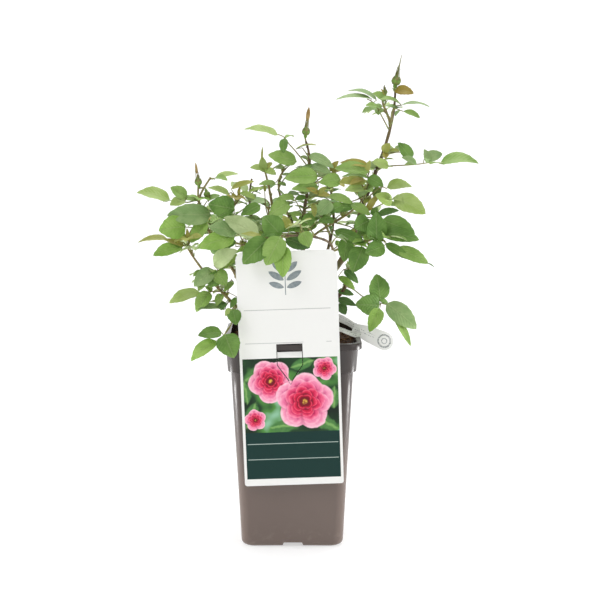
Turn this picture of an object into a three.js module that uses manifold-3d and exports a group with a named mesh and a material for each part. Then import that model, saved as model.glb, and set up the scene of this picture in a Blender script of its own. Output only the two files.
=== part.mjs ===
// A rose bush in its square nursery pot, with the hanging card and the strap label it is sold with.
// Millimetres, +Z up. The origin is the middle of the pot's underside, and -Y is the side of the card.

import Module from 'manifold-3d';
import * as THREE from 'three';
import { mergeVertices } from 'three/addons/utils/BufferGeometryUtils.js';

// What lies next to another piece keeps this clear of it.
const GAP = 0.3;

// Joining leaves edges no shorter than this.
const SMALLEST = 0.01;

// The pot's half widths, from the lip down to the foot, and its heights.
const POT_HEIGHT = 246;
const LIP = 80;
const LIP_HEIGHT = 8;
const COLLAR_TOP = 76;
const COLLAR_FOOT = 74;
const COLLAR_HEIGHT = 27;
const BODY_TOP = 70.5;
const FOOT = 60;
const FOOT_CHAMFER = 3;
const WALL = 1.8;
const FLOOR = 3;
const CORNER_SHARE = 0.2;
const CORNER_STEPS = 4;
const LIP_BOTTOM = POT_HEIGHT - LIP_HEIGHT;
const COLLAR_BOTTOM = LIP_BOTTOM - COLLAR_HEIGHT;

// A drain notch in the middle of each side of the foot.
const NOTCH_WIDTH = 26;
const NOTCH_TOP_WIDTH = 23;
const NOTCH_HEIGHT = 5;
const NOTCH_DEPTH = 14;

// The compost stands this far below the lip, with a flat place round the stem.
const SOIL_TOP = POT_HEIGHT - 10;
const SOIL_FLAT = 20;
const SOIL_UNEVEN = 2.5;

// The graft union: a short woody trunk whose knobbly head carries the canes.
const HEAD = [3, 0, 270];
const TRUNK_PATH = [[0, 0, SOIL_TOP + GAP], [0.6, 0, 248], [1.6, 0, 259], [3, 0, 270], [3.6, 0, 280]];
const TRUNK_RADII = [15, 10, 9.6, 13, 7];
const TRUNK_SIDES = 12;

// The card: a thin plastic sheet that hangs on the lip by a tab folded back through its window.
const CARD_WIDTH = 114;
const CARD_LENGTH = 272;
const CARD_THICK = 0.8;
const CARD_MIDDLE = [-2, -79.9, 217];
const CARD_TILT = THREE.MathUtils.degToRad(-2);
const CARD_LEAN = THREE.MathUtils.degToRad(1.2);
const CARD_TOP_ROUND = 9;
const CARD_FOOT_ROUND = 3;
const WINDOW_HALF = 14.9;
const WINDOW_TOP = 29.8;
const TONGUE_TOP = 20;
const TONGUE_FOLD = 14;
const TONGUE_BACK = 2.6;
const TONGUE_STRAIGHT = 5;
const TONGUE_TIP = -14;
const TONGUE_HINGE_HALF = 2;
const SLIT = 0.8;
const TAB_HALF = 13;
const TAB_DROP = 9;

// The strap label: a loop round the trunk's neck, whose wide round-ended tail lies over the lip.
const STRAP_THICK = 0.8;
const STRAP_HEIGHT = 11;
const STRAP_MIDDLE = 257;
const STRAP_LOOP_RADIUS = 15;
const STRAP_RISE_BACK = 0.12;
const STRAP_SLOT = [76, -25];
const TAIL_LENGTH = 46;
const TAIL_NECK = 18;
const TAIL_WIDTH = 22;
const TAIL_YAW = THREE.MathUtils.degToRad(-16);
const TAIL_FALL = THREE.MathUtils.degToRad(21);
const TAIL_LIFT = 3.3;

// Leaves: each is a thin stalk with one leaflet at its end and pairs of leaflets beside it.
const LEAFLET_WIDTH = 0.74;
const LEAFLET_THICK = 1.1;
const LEAFLET_WIDEST = 0.42;
const LEAFLET_FOLD = 0.1;
const LEAFLET_ROOT = -0.25;
const END_ROOT = 1.6;
const STALK_RADIUS = 0.95;
const STALK_ARCH = 0.4;
const STALK_BOW = 0.55;
const UPPER_PAIR_BACK = 0.36;
const PAIR_STEP = 0.7;
const PAIR_ANGLE = THREE.MathUtils.degToRad(66);
const UPPER_PAIR_SHARE = 0.9;
const LOWER_PAIR_SHARE = 0.74;
const PAIR_DROOP = 0.16;

// The seeded rule for the leaves that fill a shoot.
const TURN = THREE.MathUtils.degToRad(137.5);
const TURN_SPREAD = THREE.MathUtils.degToRad(30);
const OTHER_BEARINGS = [0, 35, -35, 70, -70, 105, -105, 140, -140, 175].map(THREE.MathUtils.degToRad);
const REACH_SHARES = [1, 0.78, 0.6];
const RISE = 0.35;
const RISE_SPREAD = 0.5;
const REACH_OF_FIVE = 2.5;
const REACH_OF_THREE = 1.95;
const TIP_SHRINK = 0.35;
const SPACE_MARGIN = 2;
const LIMB_MARGIN = 6;
const LEAFLET_ROOM = 12;
const STEM_SIDES = 5;
const TWIG_SIDES = 3;
const STEM_STEPS = 8;
const TWIG_STEPS = 4;

// The crown. Each mass grows from the tip of its own cane. out is the cane's direction at the head;
// caneMid, caneTip, mid and tip are places that cane and stem pass or end at; a side shoot leaves the
// stem at its share of the stem's length. A leaf here is [shoot, share of it, tip, leaflet length,
// pairs, facing], where shoot 0 is the stem and facing turns the blade from the sky (0) to -Y (1).
const CROWN = [
  {
    name: 'tall', seed: 5,
    out: [0.7, 0.1, 0.7], caneMid: [44, 6, 312], caneTip: [74, 8, 366], caneRadii: [4.3, 3],
    mid: [102, 10, 445], tip: [120, 5, 530], stemRadii: [2.9, 1.1],
    shoots: [{ at: 0.74, mid: [109, 7, 508], tip: [108, 5, 522] }],
    leaves: [
      [0, 0.73, [50, -10, 520], 36, 2, 0.15],
      [0, 0.78, [158, 0, 510], 32, 2, 0.15],
      [0, 0.92, [142, 5, 527], 22, 0, 0.5],
      [0, 0.6, [126, 2, 463], 19, 0, 0.5],
      [0, 0.45, [219, 0, 446], 43, 2, 0.35],
      [0, 0.42, [84, -8, 452], 20, 0, 0.6],
      [0, 0.13, [154, -25, 390], 36, 2, 0.45],
      [0, 0.24, [136, 10, 418], 28, 1, 0.3],
      [0, 0.3, [66, -20, 432], 28, 1, 0.6],
    ],
    buds: [[0, 5.5, [128, 5, 571]], [1, 3.4, [109, 5, 541]]],
    leaflet: 29, counts: [3, 0],
  },
  {
    name: 'centre', seed: 12,
    out: [0.1, -0.1, 1], caneMid: [12, -4, 302], caneTip: [15, -5, 333], caneRadii: [3.4, 2.6],
    mid: [16, -5, 404], tip: [16, -5, 472], stemRadii: [2.5, 1.1],
    shoots: [
      { at: 0.08, mid: [-9, -2, 395], tip: [-8, -2, 440] },
      { at: 0.04, mid: [56, 12, 380], tip: [78, 15, 428] },
    ],
    leaves: [
      [0, 0.75, [-56, 0, 487], 40, 1, 0.2],
      [0, 0.7, [46, -15, 444], 30, 1, 0.4],
      [0, 0.88, [28, -5, 466], 17, 0, 0.2],
      [0, 0.6, [1, -34, 421], 28, 0, 0.5],
      [0, 0.5, [42, -30, 404], 30, 1, 0.6],
      [0, 0.4, [-6, -30, 392], 27, 1, 0.6],
      [1, 0.9, [26, -24, 436], 32, 1, 0.6],
      [1, 0.98, [-30, -10, 457], 34, 0, 0.75],
      [2, 0.7, [31, -8, 420], 26, 1, 0.6],
      [2, 0.95, [96, 8, 446], 28, 1, 0.4],
      [2, 0.97, [52, -2, 444], 30, 1, 0.4],
      [2, 0.5, [84, -12, 396], 28, 1, 0.5],
    ],
    buds: [[0, 4.8, [21, -5, 511]]],
    leaflet: 30, counts: [3, 2, 2],
  },
  {
    name: 'middle_left', seed: 21,
    out: [-0.45, 0.15, 0.9], caneMid: [-12, 3, 300], caneTip: [-20, 5, 326], caneRadii: [3, 2.4],
    mid: [-22, 10, 380], tip: [-32, 10, 436], stemRadii: [2.3, 1],
    shoots: [{ at: 0.1, mid: [-54, -12, 366], tip: [-63, -18, 404] }],
    leaves: [
      [0, 0.96, [-34, 8, 466], 26, 0, 0.8],
      [0, 0.94, [-52, 0, 440], 22, 1, 0.4],
      [1, 0.98, [-42, -14, 424], 24, 1, 0.5],
      [1, 0.9, [-97, -20, 419], 28, 1, 0.3],
      [1, 0.62, [-94, -40, 396], 33, 0, 0.85],
      [1, 0.5, [-76, -50, 380], 38, 0, 0.6],
      [1, 0.32, [-107, -42, 350], 42, 1, 0.6],
      [1, 0.75, [-34, -26, 398], 26, 0, 0.6],
    ],
    buds: [],
    leaflet: 28, counts: [4, 2],
  },
  {
    name: 'left', seed: 34,
    out: [-0.85, -0.1, 0.5], caneMid: [-36, -1, 282], caneTip: [-62, -4, 301], caneRadii: [3.2, 2.5],
    mid: [-90, -10, 355], tip: [-109, -15, 420], stemRadii: [2.4, 0.95],
    shoots: [{ at: 0.86, mid: [-103, -14, 418], tip: [-95, -13, 431] }],
    leaves: [
      [0, 0.84, [-179, -18, 414], 39, 2, 0.3],
      [0, 0.62, [-154, -36, 372], 32, 1, 0.7],
      [0, 0.72, [-146, -26, 388], 46, 0, 0.7],
      [1, 0.98, [-62, -14, 435], 28, 1, 0.25],
    ],
    buds: [[0, 4.4, [-111, -15, 446]]],
    leaflet: 28, counts: [4, 0],
  },
  {
    name: 'low_left', seed: 45,
    out: [-0.8, -0.45, 0.15], caneMid: [-34, -13, 272], caneTip: [-64, -20, 279], caneRadii: [2.8, 2.2],
    mid: [-97, -25, 315], tip: [-122, -30, 352], stemRadii: [2.1, 0.9],
    shoots: [],
    leaves: [
      [0, 0.97, [-180, -30, 357], 33, 0, 0.1],
      [0, 0.93, [-160, -36, 342], 34, 0, 0.6],
      [0, 0.96, [-100, -30, 379], 30, 0, 0.7],
      [0, 0.4, [-113, -50, 306], 27, 2, 0.5],
      [0, 0.34, [-66, -46, 346], 32, 0, 0.7],
      [0, 0.22, [-142, -36, 287], 36, 2, 0.4],
      [0, 0.03, [-114, -80, 226], 36, 2, 0.6],
      [0, 0.02, [-77, -92, 233], 27, 0, 0.8],
    ],
    buds: [],
    leaflet: 26, counts: [4],
  },
  {
    name: 'front', seed: 56,
    out: [0.45, -0.75, 0.5], caneMid: [26, -18, 292], caneTip: [42, -26, 320], caneRadii: [2.7, 2.1],
    mid: [37, -50, 366], tip: [-8, -91, 371], stemRadii: [2, 1],
    shoots: [],
    leaves: [
      [0, 0.98, [-12, -99, 324], 33, 0, 0.9],
      [0, 0.96, [-54, -95, 350], 34, 1, 0.8],
      [0, 0.9, [-34, -84, 388], 28, 0, 0.6],
      [0, 0.72, [26, -88, 358], 20, 0, 0.8],
      [0, 0.6, [-20, -58, 402], 26, 1, 0.4],
    ],
    buds: [],
    leaflet: 26, counts: [3],
  },
  {
    name: 'right', seed: 67,
    out: [0.95, -0.3, 0.25], caneMid: [38, -6, 281], caneTip: [62, -8, 302], caneRadii: [3, 2.4],
    mid: [82, -14, 340], tip: [106, -18, 360], stemRadii: [2.3, 1],
    shoots: [],
    leaves: [
      [0, 0.95, [166, -22, 326], 40, 2, 0.5],
      [0, 0.9, [147, -8, 358], 34, 1, 0.4],
      [0, 0.8, [100, -12, 394], 33, 0, 0.85],
      [0, 0.5, [68, -26, 322], 29, 0, 0.9],
      [0, 0.7, [88, -36, 340], 24, 0, 0.9],
      [0, 0.03, [143, -20, 231], 46, 2, 0.6],
      [0, 0.02, [76, -22, 273], 24, 0, 0.7],
    ],
    buds: [],
    leaflet: 27, counts: [4],
  },
  {
    name: 'back_left', seed: 78,
    out: [-0.4, 0.75, 0.5], caneMid: [-14, 24, 290], caneTip: [-26, 42, 314], caneRadii: [3, 2.3],
    mid: [-44, 62, 358], tip: [-50, 76, 424], stemRadii: [2.2, 1],
    shoots: [
      { at: 0.15, mid: [-74, 56, 348], tip: [-98, 66, 372] },
      { at: 0.35, mid: [-34, 96, 366], tip: [-36, 112, 392] },
    ],
    leaves: [],
    buds: [],
    leaflet: 31, counts: [5, 4, 3],
  },
  {
    name: 'back_right', seed: 89,
    out: [0.45, 0.75, 0.5], caneMid: [22, 24, 290], caneTip: [36, 42, 314], caneRadii: [3, 2.3],
    mid: [48, 62, 358], tip: [44, 76, 418], stemRadii: [2.2, 1],
    shoots: [
      { at: 0.15, mid: [82, 58, 346], tip: [108, 62, 376] },
      { at: 0.35, mid: [42, 98, 362], tip: [48, 114, 386] },
    ],
    leaves: [],
    buds: [],
    leaflet: 31, counts: [5, 4, 3],
  },
];

const wasm = await Module();
wasm.setup();

const UP = new THREE.Vector3(0, 0, 1);
const FRONT = new THREE.Vector3(0, -1, 0);
const at = (place) => new THREE.Vector3(...place);
const mix = (from, to, share) => from + (to - from) * share;
const along = (from, to, share) => from.clone().lerp(to, share);

// A number from 0 to 1 at each call, the same ones for the same seed.
function dice(seed) {
  const modulus = 2147483647;
  let state = (seed * 7919) % modulus;
  return () => {
    state = (state * 48271) % modulus;
    return state / modulus;
  };
}

function bare(geometry) {
  geometry.deleteAttribute('normal');
  geometry.deleteAttribute('uv');
  return geometry;
}

const welded = (geometry) => mergeVertices(bare(geometry));

function solid(geometry) {
  const merged = welded(geometry);
  return new wasm.Manifold(new wasm.Mesh({
    numProp: 3,
    vertProperties: merged.attributes.position.array,
    triVerts: Uint32Array.from(merged.index.array),
  }));
}

function joined(solids) {
  return solids.reduce((whole, piece) => whole.add(piece));
}

// The largest body alone: it drops loose scraps and fills sealed hollows.
function main(manifold) {
  const bodies = manifold.simplify(SMALLEST).decompose();
  return bodies.reduce((most, body) => (body.volume() > most.volume() ? body : most));
}

function shapeOf(manifold) {
  const mesh = manifold.getMesh();
  const geometry = new THREE.BufferGeometry();
  geometry.setAttribute('position', new THREE.BufferAttribute(mesh.vertProperties, 3));
  geometry.setIndex(new THREE.BufferAttribute(mesh.triVerts, 1));
  return geometry;
}

// Sets every vertex of a geometry to the place that move gives for it.
function moved(geometry, move) {
  const places = bare(geometry).attributes.position;
  const vertex = new THREE.Vector3();
  for (let i = 0; i < places.count; i += 1) {
    vertex.fromBufferAttribute(places, i);
    const place = move(vertex, i);
    places.setXYZ(i, place.x, place.y, place.z);
  }
  return geometry;
}

// A square shell or block with rounded corners: a lathe's rings set square, from a profile of
// half widths and heights.
function squared(profile) {
  const onCorner = CORNER_STEPS + 1;
  const ring = 4 * onCorner;
  const lathe = new THREE.LatheGeometry(profile.map(([r, z]) => new THREE.Vector2(r, z)), ring);
  return moved(lathe, (vertex, i) => {
    const [half, height] = profile[i % profile.length];
    const step = Math.floor(i / profile.length) % ring;
    const corner = Math.floor(step / onCorner);
    const angle = (corner - 1 + (step % onCorner) / CORNER_STEPS) * (Math.PI / 2);
    const middle = (corner - 0.5) * (Math.PI / 2);
    const round = half * CORNER_SHARE;
    const flat = half - round;
    return new THREE.Vector3(
      flat * Math.sign(Math.cos(middle)) + round * Math.cos(angle),
      flat * Math.sign(Math.sin(middle)) + round * Math.sin(angle),
      height,
    );
  });
}

// The inside of the pot's wall, from the floor up, drawn in by inset.
function innerWall(inset) {
  return [
    [FOOT - WALL - inset, FLOOR + inset],
    [BODY_TOP - WALL - inset, COLLAR_BOTTOM - WALL],
    [COLLAR_FOOT - WALL - inset, COLLAR_BOTTOM + WALL],
    [COLLAR_TOP - WALL - inset, LIP_BOTTOM],
  ];
}

function pot() {
  const shell = squared([
    [0, 0],
    [FOOT - FOOT_CHAMFER, 0],
    [FOOT, FOOT_CHAMFER],
    [BODY_TOP, COLLAR_BOTTOM],
    [COLLAR_FOOT, COLLAR_BOTTOM],
    [COLLAR_TOP, LIP_BOTTOM],
    [LIP, LIP_BOTTOM],
    [LIP, POT_HEIGHT - 1],
    [LIP - 1, POT_HEIGHT],
    [COLLAR_TOP - WALL, POT_HEIGHT],
    ...innerWall(0).reverse(),
    [0, FLOOR],
  ]);
  const notch = new THREE.Shape([
    new THREE.Vector2(-NOTCH_WIDTH / 2, -1),
    new THREE.Vector2(NOTCH_WIDTH / 2, -1),
    new THREE.Vector2(NOTCH_TOP_WIDTH / 2, NOTCH_HEIGHT),
    new THREE.Vector2(-NOTCH_TOP_WIDTH / 2, NOTCH_HEIGHT),
  ]);
  let body = solid(shell);
  for (let side = 0; side < 4; side += 1) {
    const cutter = new THREE.ExtrudeGeometry(notch, { depth: NOTCH_DEPTH, bevelEnabled: false });
    cutter.rotateX(Math.PI / 2);
    cutter.translate(0, NOTCH_DEPTH - FOOT - 1, 0);
    cutter.rotateZ((side * Math.PI) / 2);
    body = body.subtract(solid(cutter));
  }
  return body;
}

function soil() {
  const roll = dice(3);
  const top = [[SOIL_FLAT * 3, SOIL_TOP], [SOIL_FLAT * 2, SOIL_TOP], [SOIL_FLAT, SOIL_TOP], [0, SOIL_TOP]];
  const wall = innerWall(GAP).slice(0, 3);
  const rim = mix(COLLAR_FOOT, COLLAR_TOP, (SOIL_TOP - COLLAR_BOTTOM) / COLLAR_HEIGHT) - WALL - GAP - 0.1;
  const block = squared([[0, FLOOR + GAP], ...wall, [rim, SOIL_TOP], ...top]);
  const merged = mergeVertices(block);
  return solid(moved(merged, (vertex) => {
    const half = Math.max(Math.abs(vertex.x), Math.abs(vertex.y));
    const uneven = vertex.z === SOIL_TOP && half > SOIL_FLAT + 1 && half < SOIL_FLAT * 3 + 1;
    return vertex.clone().setZ(vertex.z + (uneven ? (roll() - 0.5) * 2 * SOIL_UNEVEN : 0));
  }));
}

// A tapering limb: a capped cylinder with its rings at the given places and of the given radii.
function limb(places, radii, sides, first, last) {
  const rings = places.length - 1;
  const frames = [];
  let across = new THREE.Vector3(1, 0, 0.2);
  places.forEach((place, k) => {
    const before = places[Math.max(k - 1, 0)];
    const after = places[Math.min(k + 1, rings)];
    let forward = after.clone().sub(before).normalize();
    if (k === 0 && first) forward = first.clone().normalize();
    if (k === rings && last) forward = last.clone().normalize();
    across = across.clone().addScaledVector(forward, -across.dot(forward));
    if (across.length() < 0.1) across = new THREE.Vector3().crossVectors(forward, FRONT);
    across.normalize();
    frames.push([across, new THREE.Vector3().crossVectors(across, forward)]);
  });
  return moved(welded(new THREE.CylinderGeometry(1, 1, 1, sides, rings)), (vertex) => {
    const k = Math.round((vertex.y + 0.5) * rings);
    return places[k].clone()
      .addScaledVector(frames[k][0], vertex.x * radii[k])
      .addScaledVector(frames[k][1], vertex.z * radii[k]);
  });
}

function limbOn(curve, steps, radii, sides, from = 0) {
  const shares = Array.from({ length: steps + 1 }, (_, k) => from + ((1 - from) * k) / steps);
  const widths = shares.map((share) => mix(radii[0], radii[1], share));
  const places = shares.map((share) => curve.getPoint(share));
  return limb(places, widths, sides, curve.getTangent(from), curve.getTangent(1));
}

// A curve that leaves start along direction, passes mid halfway and ends at end.
function sweep(start, direction, mid, end) {
  const first = start.clone().addScaledVector(direction.clone().normalize(), start.distanceTo(mid) * 0.6);
  const second = mid.clone().multiplyScalar(8).sub(start).addScaledVector(first, -3).sub(end).divideScalar(3);
  return new THREE.CubicBezierCurve3(start, first, second, end);
}

function trunk(grow) {
  const places = TRUNK_PATH.map(at);
  places[places.length - 1].z += grow;
  return solid(limb(places, TRUNK_RADII.map((radius) => radius + grow), TRUNK_SIDES, UP, UP));
}

// The card's outline and its window, from which two slits run down beside a pointed tongue.
function cardOutline() {
  const [w, h] = [CARD_WIDTH / 2, CARD_LENGTH / 2];
  const outline = new THREE.Shape();
  outline.moveTo(-w + CARD_FOOT_ROUND, -h);
  outline.lineTo(w - CARD_FOOT_ROUND, -h);
  outline.absarc(w - CARD_FOOT_ROUND, -h + CARD_FOOT_ROUND, CARD_FOOT_ROUND, -Math.PI / 2, 0);
  outline.lineTo(w, h - CARD_TOP_ROUND);
  outline.absarc(w - CARD_TOP_ROUND, h - CARD_TOP_ROUND, CARD_TOP_ROUND, 0, Math.PI / 2);
  outline.lineTo(-w + CARD_TOP_ROUND, h);
  outline.absarc(-w + CARD_TOP_ROUND, h - CARD_TOP_ROUND, CARD_TOP_ROUND, Math.PI / 2, Math.PI);
  outline.lineTo(-w, -h + CARD_FOOT_ROUND);
  outline.absarc(-w + CARD_FOOT_ROUND, -h + CARD_FOOT_ROUND, CARD_FOOT_ROUND, Math.PI, Math.PI * 1.5);
  const tongueHalf = WINDOW_HALF - SLIT;
  const rightSide = [
    [WINDOW_HALF, WINDOW_TOP],
    [WINDOW_HALF, TONGUE_STRAIGHT],
    [TONGUE_HINGE_HALF, TONGUE_TIP],
    [TONGUE_HINGE_HALF - SLIT, TONGUE_TIP + SLIT],
    [tongueHalf, TONGUE_STRAIGHT + SLIT / 2],
    [tongueHalf, TONGUE_FOLD],
    [tongueHalf, TONGUE_TOP],
  ];
  const leftSide = rightSide.map(([x, z]) => [-x, z]).reverse();
  outline.holes.push(new THREE.Path([...rightSide, ...leftSide].map(([x, z]) => new THREE.Vector2(x, z))));
  return outline;
}

function card() {
  const settings = { depth: CARD_THICK, bevelEnabled: false, curveSegments: 4 };
  const sheet = new THREE.ExtrudeGeometry(cardOutline(), settings);
  sheet.rotateX(Math.PI / 2);
  const folded = moved(sheet, (vertex) => {
    const onFlap = Math.abs(vertex.x) < WINDOW_HALF - SLIT / 2 && Math.abs(vertex.z - TONGUE_TOP) < SLIT / 2;
    return vertex.clone().setY(vertex.y + (onFlap ? TONGUE_BACK : 0));
  });
  const over = LIP - COLLAR_TOP + WALL + 2 * CARD_THICK + 3 * GAP;
  const top = new THREE.BoxGeometry(2 * TAB_HALF, over, CARD_THICK);
  top.translate(0, over / 2 - CARD_THICK, WINDOW_TOP + CARD_THICK / 2);
  const drop = new THREE.BoxGeometry(2 * TAB_HALF, CARD_THICK, TAB_DROP);
  drop.translate(0, over - 1.5 * CARD_THICK, WINDOW_TOP + CARD_THICK - TAB_DROP / 2);
  const whole = shapeOf(joined([folded, top, drop].map(solid)));
  whole.rotateY(CARD_TILT);
  whole.rotateX(CARD_LEAN);
  return whole.translate(...CARD_MIDDLE);
}

// How far the strap's loop and its tail are lifted where they lie.
const strapMiddleAt = (y) => STRAP_MIDDLE + y * STRAP_RISE_BACK;

function strapLoop() {
  const ring = (path, radius) => {
    const slot = new THREE.Vector2(STRAP_SLOT[0] - HEAD[0], STRAP_SLOT[1]);
    slot.multiplyScalar(radius / STRAP_LOOP_RADIUS);
    const aim = slot.angle();
    const touch = Math.acos(radius / slot.length());
    path.moveTo(slot.x, slot.y);
    path.absarc(0, 0, radius, aim + touch, aim - touch + 2 * Math.PI);
    path.lineTo(slot.x, slot.y);
    return path;
  };
  const band = ring(new THREE.Shape(), STRAP_LOOP_RADIUS);
  band.holes.push(ring(new THREE.Path(), STRAP_LOOP_RADIUS - STRAP_THICK));
  const settings = { depth: STRAP_HEIGHT, bevelEnabled: false, curveSegments: 14 };
  const loop = new THREE.ExtrudeGeometry(band, settings);
  loop.translate(HEAD[0], 0, -STRAP_HEIGHT / 2);
  return moved(loop, (vertex) => vertex.clone().setZ(vertex.z + strapMiddleAt(vertex.y)));
}

function strapTail() {
  const outline = new THREE.Shape();
  outline.moveTo(0, -TAIL_NECK / 2);
  outline.lineTo(TAIL_LENGTH - TAIL_WIDTH / 2, -TAIL_WIDTH / 2);
  outline.absarc(TAIL_LENGTH - TAIL_WIDTH / 2, 0, TAIL_WIDTH / 2, -Math.PI / 2, Math.PI / 2);
  outline.lineTo(0, TAIL_NECK / 2);
  outline.lineTo(-4, STRAP_HEIGHT / 2);
  outline.lineTo(-4, -STRAP_HEIGHT / 2);
  const settings = { depth: STRAP_THICK, bevelEnabled: false, curveSegments: 8 };
  const tail = new THREE.ExtrudeGeometry(outline, settings);
  tail.rotateX(Math.PI / 2);
  tail.translate(0, STRAP_THICK / 2, 0);
  tail.rotateY(TAIL_FALL);
  tail.rotateZ(TAIL_YAW);
  return tail.translate(...STRAP_SLOT, strapMiddleAt(STRAP_SLOT[1]) + TAIL_LIFT);
}

// A leaflet of eight faces: an octahedron drawn out from base to tip, with its sides lifted in a fold.
function leaflet(base, tip, facing, length, sunk) {
  const forward = tip.clone().sub(base).normalize();
  const side = new THREE.Vector3().crossVectors(facing, forward).normalize();
  const normal = new THREE.Vector3().crossVectors(forward, side);
  const root = base.clone().addScaledVector(forward, -sunk);
  const widest = along(base, tip, LEAFLET_WIDEST);
  const half = (length * LEAFLET_WIDTH) / 2;
  const blade = moved(welded(new THREE.OctahedronGeometry(1)), (vertex) => {
    if (vertex.x > 0.5) return tip;
    if (vertex.x < -0.5) return root;
    return widest.clone()
      .addScaledVector(side, vertex.y * half)
      .addScaledVector(normal, Math.abs(vertex.y) * half * LEAFLET_FOLD * 2 + (vertex.z * LEAFLET_THICK) / 2);
  });
  const middle = along(base, tip, 0.5);
  const edges = [-1, 1].map((hand) => widest.clone().addScaledVector(side, hand * half));
  return { blade, middle, points: [middle, tip, ...edges, ...edges.map((edge) => along(edge, tip, 0.5))] };
}

// A leaf: its stalk arches from base, and carries the end leaflet and its pairs, whose leaflets
// are kept where allowed says their points may be.
function leaf(base, tip, size, pairs, facing, allowed) {
  const end = tip.clone().sub(base).normalize().addScaledVector(UP, -STALK_ARCH).normalize();
  const stalkEnd = tip.clone().addScaledVector(end, -size);
  const stalk = stalkEnd.distanceTo(base);
  const bow = stalkEnd.clone().addScaledVector(end, -stalk * STALK_BOW);
  const curve = new THREE.QuadraticBezierCurve3(base, bow, stalkEnd);
  const shares = [UPPER_PAIR_BACK, UPPER_PAIR_BACK + PAIR_STEP]
    .slice(0, pairs)
    .map((back) => Math.max(1 - (back * size) / stalk, 0.3))
    .reverse();
  const stations = [0, ...(shares.length ? shares : [0.5]), 1];
  const radii = stations.map((share) => STALK_RADIUS * (1 - 0.2 * share));
  const leaflets = [leaflet(stalkEnd, tip, facing, size, END_ROOT)];
  shares.forEach((share, k) => {
    const forward = curve.getTangent(share);
    const side = new THREE.Vector3().crossVectors(facing, forward).normalize();
    const length = size * (k === shares.length - 1 ? UPPER_PAIR_SHARE : LOWER_PAIR_SHARE);
    for (const hand of [-1, 1]) {
      const out = forward.clone().multiplyScalar(Math.cos(PAIR_ANGLE))
        .addScaledVector(side, hand * Math.sin(PAIR_ANGLE))
        .addScaledVector(UP, -PAIR_DROOP)
        .normalize();
      const root = curve.getPoint(share);
      const one = leaflet(root, root.clone().addScaledVector(out, length), facing, length, LEAFLET_ROOT);
      if (allowed(one)) leaflets.push(one);
    }
  });
  const stalkPoints = stations.slice(1).map((share) => curve.getPoint(share));
  return {
    pieces: [limb([base, ...stalkPoints], radii, TWIG_SIDES), ...leaflets.map((one) => one.blade)],
    middles: leaflets.map((one) => one.middle),
    points: [...stalkPoints, ...leaflets.flatMap((one) => one.points)],
  };
}

// A bud on its hip, closed in sepals whose long ends reach to the tip.
function bud(base, tip, radius) {
  const direction = tip.clone().sub(base);
  const spire = direction.length() - 3 * radius;
  const profile = [
    [0, -2], [1.1, -1], [radius * 0.5, 2], [radius * 0.42, radius * 0.9], [radius, radius * 1.7],
    [radius * 0.7, radius * 2.4], [1.1, radius * 3], [0.8, radius * 3 + spire * 0.6], [0, radius * 3 + spire],
  ];
  const shape = welded(new THREE.LatheGeometry(profile.map(([r, h]) => new THREE.Vector2(r, h)), 7));
  const turn = new THREE.Quaternion().setFromUnitVectors(new THREE.Vector3(0, 1, 0), direction.normalize());
  shape.applyQuaternion(turn);
  return shape.translate(base.x, base.y, base.z);
}

// Each mass's own cane and shoots.
function grownShoots(mass) {
  const cane = sweep(at(HEAD), at(mass.out), at(mass.caneMid), at(mass.caneTip));
  const foot = cane.getPoint(1).addScaledVector(cane.getTangent(1), GAP);
  const stem = sweep(foot, cane.getTangent(1), at(mass.mid), at(mass.tip));
  const sides = mass.shoots.map((side) => (
    sweep(stem.getPoint(side.at), stem.getTangent(side.at), at(side.mid), at(side.tip))));
  return { cane, shoots: [stem, ...sides] };
}

const GROWN = CROWN.map(grownShoots);
const SPACES = GROWN.map(({ shoots }) => shoots.flatMap((curve) => curve.getPoints(14)));
const CANE_POINTS = GROWN.flatMap(({ cane }) => cane.getPoints(16));

function nearest(point, places) {
  return places.reduce((least, place) => Math.min(least, place.distanceTo(point)), Infinity);
}

// A point is in a mass's own space where that mass's shoots are the nearest.
function inSpace(point, own) {
  const home = nearest(point, SPACES[own]);
  return SPACES.every((places, k) => k === own || nearest(point, places) > home + SPACE_MARGIN);
}

// Clear of the pot, the card, the strap label and the canes.
function clearOfThings(point) {
  const { x, y, z } = point;
  const overPot = z > POT_HEIGHT + 3 || Math.max(Math.abs(x), Math.abs(y)) > LIP + 3;
  const atCard = Math.abs(x) < 64 && z < 358 && y > -89 && y < -76;
  const atLoop = x > -17 && x < 80 && Math.abs(y) < 32 && z < 268;
  const tailY = STRAP_SLOT[1] + (x - STRAP_SLOT[0]) * Math.tan(TAIL_YAW);
  const atTail = x > 72 && x < 126 && Math.abs(y - tailY) < 5 && z > 228 && z < 272;
  return overPot && !atCard && !atLoop && !atTail && nearest(point, CANE_POINTS) > LIMB_MARGIN;
}

const placedMiddles = [];
const isFree = (point, own) => inSpace(point, own) && clearOfThings(point);

function fits(one, own) {
  return one.points.every((point) => isFree(point, own))
    && one.middles.every((middle) => nearest(middle, placedMiddles) > LEAFLET_ROOM);
}

function placed(mass, own) {
  const { shoots } = GROWN[own];
  return mass.leaves.map(([shoot, share, tip, size, pairs, front]) => {
    const facing = UP.clone().multiplyScalar(1 - front).addScaledVector(FRONT, front).normalize();
    const allowed = (side) => side.points.every((point) => isFree(point, own));
    const one = leaf(shoots[shoot].getPoint(share), at(tip), size, pairs, facing, allowed);
    placedMiddles.push(...one.middles);
    return one;
  });
}

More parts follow.
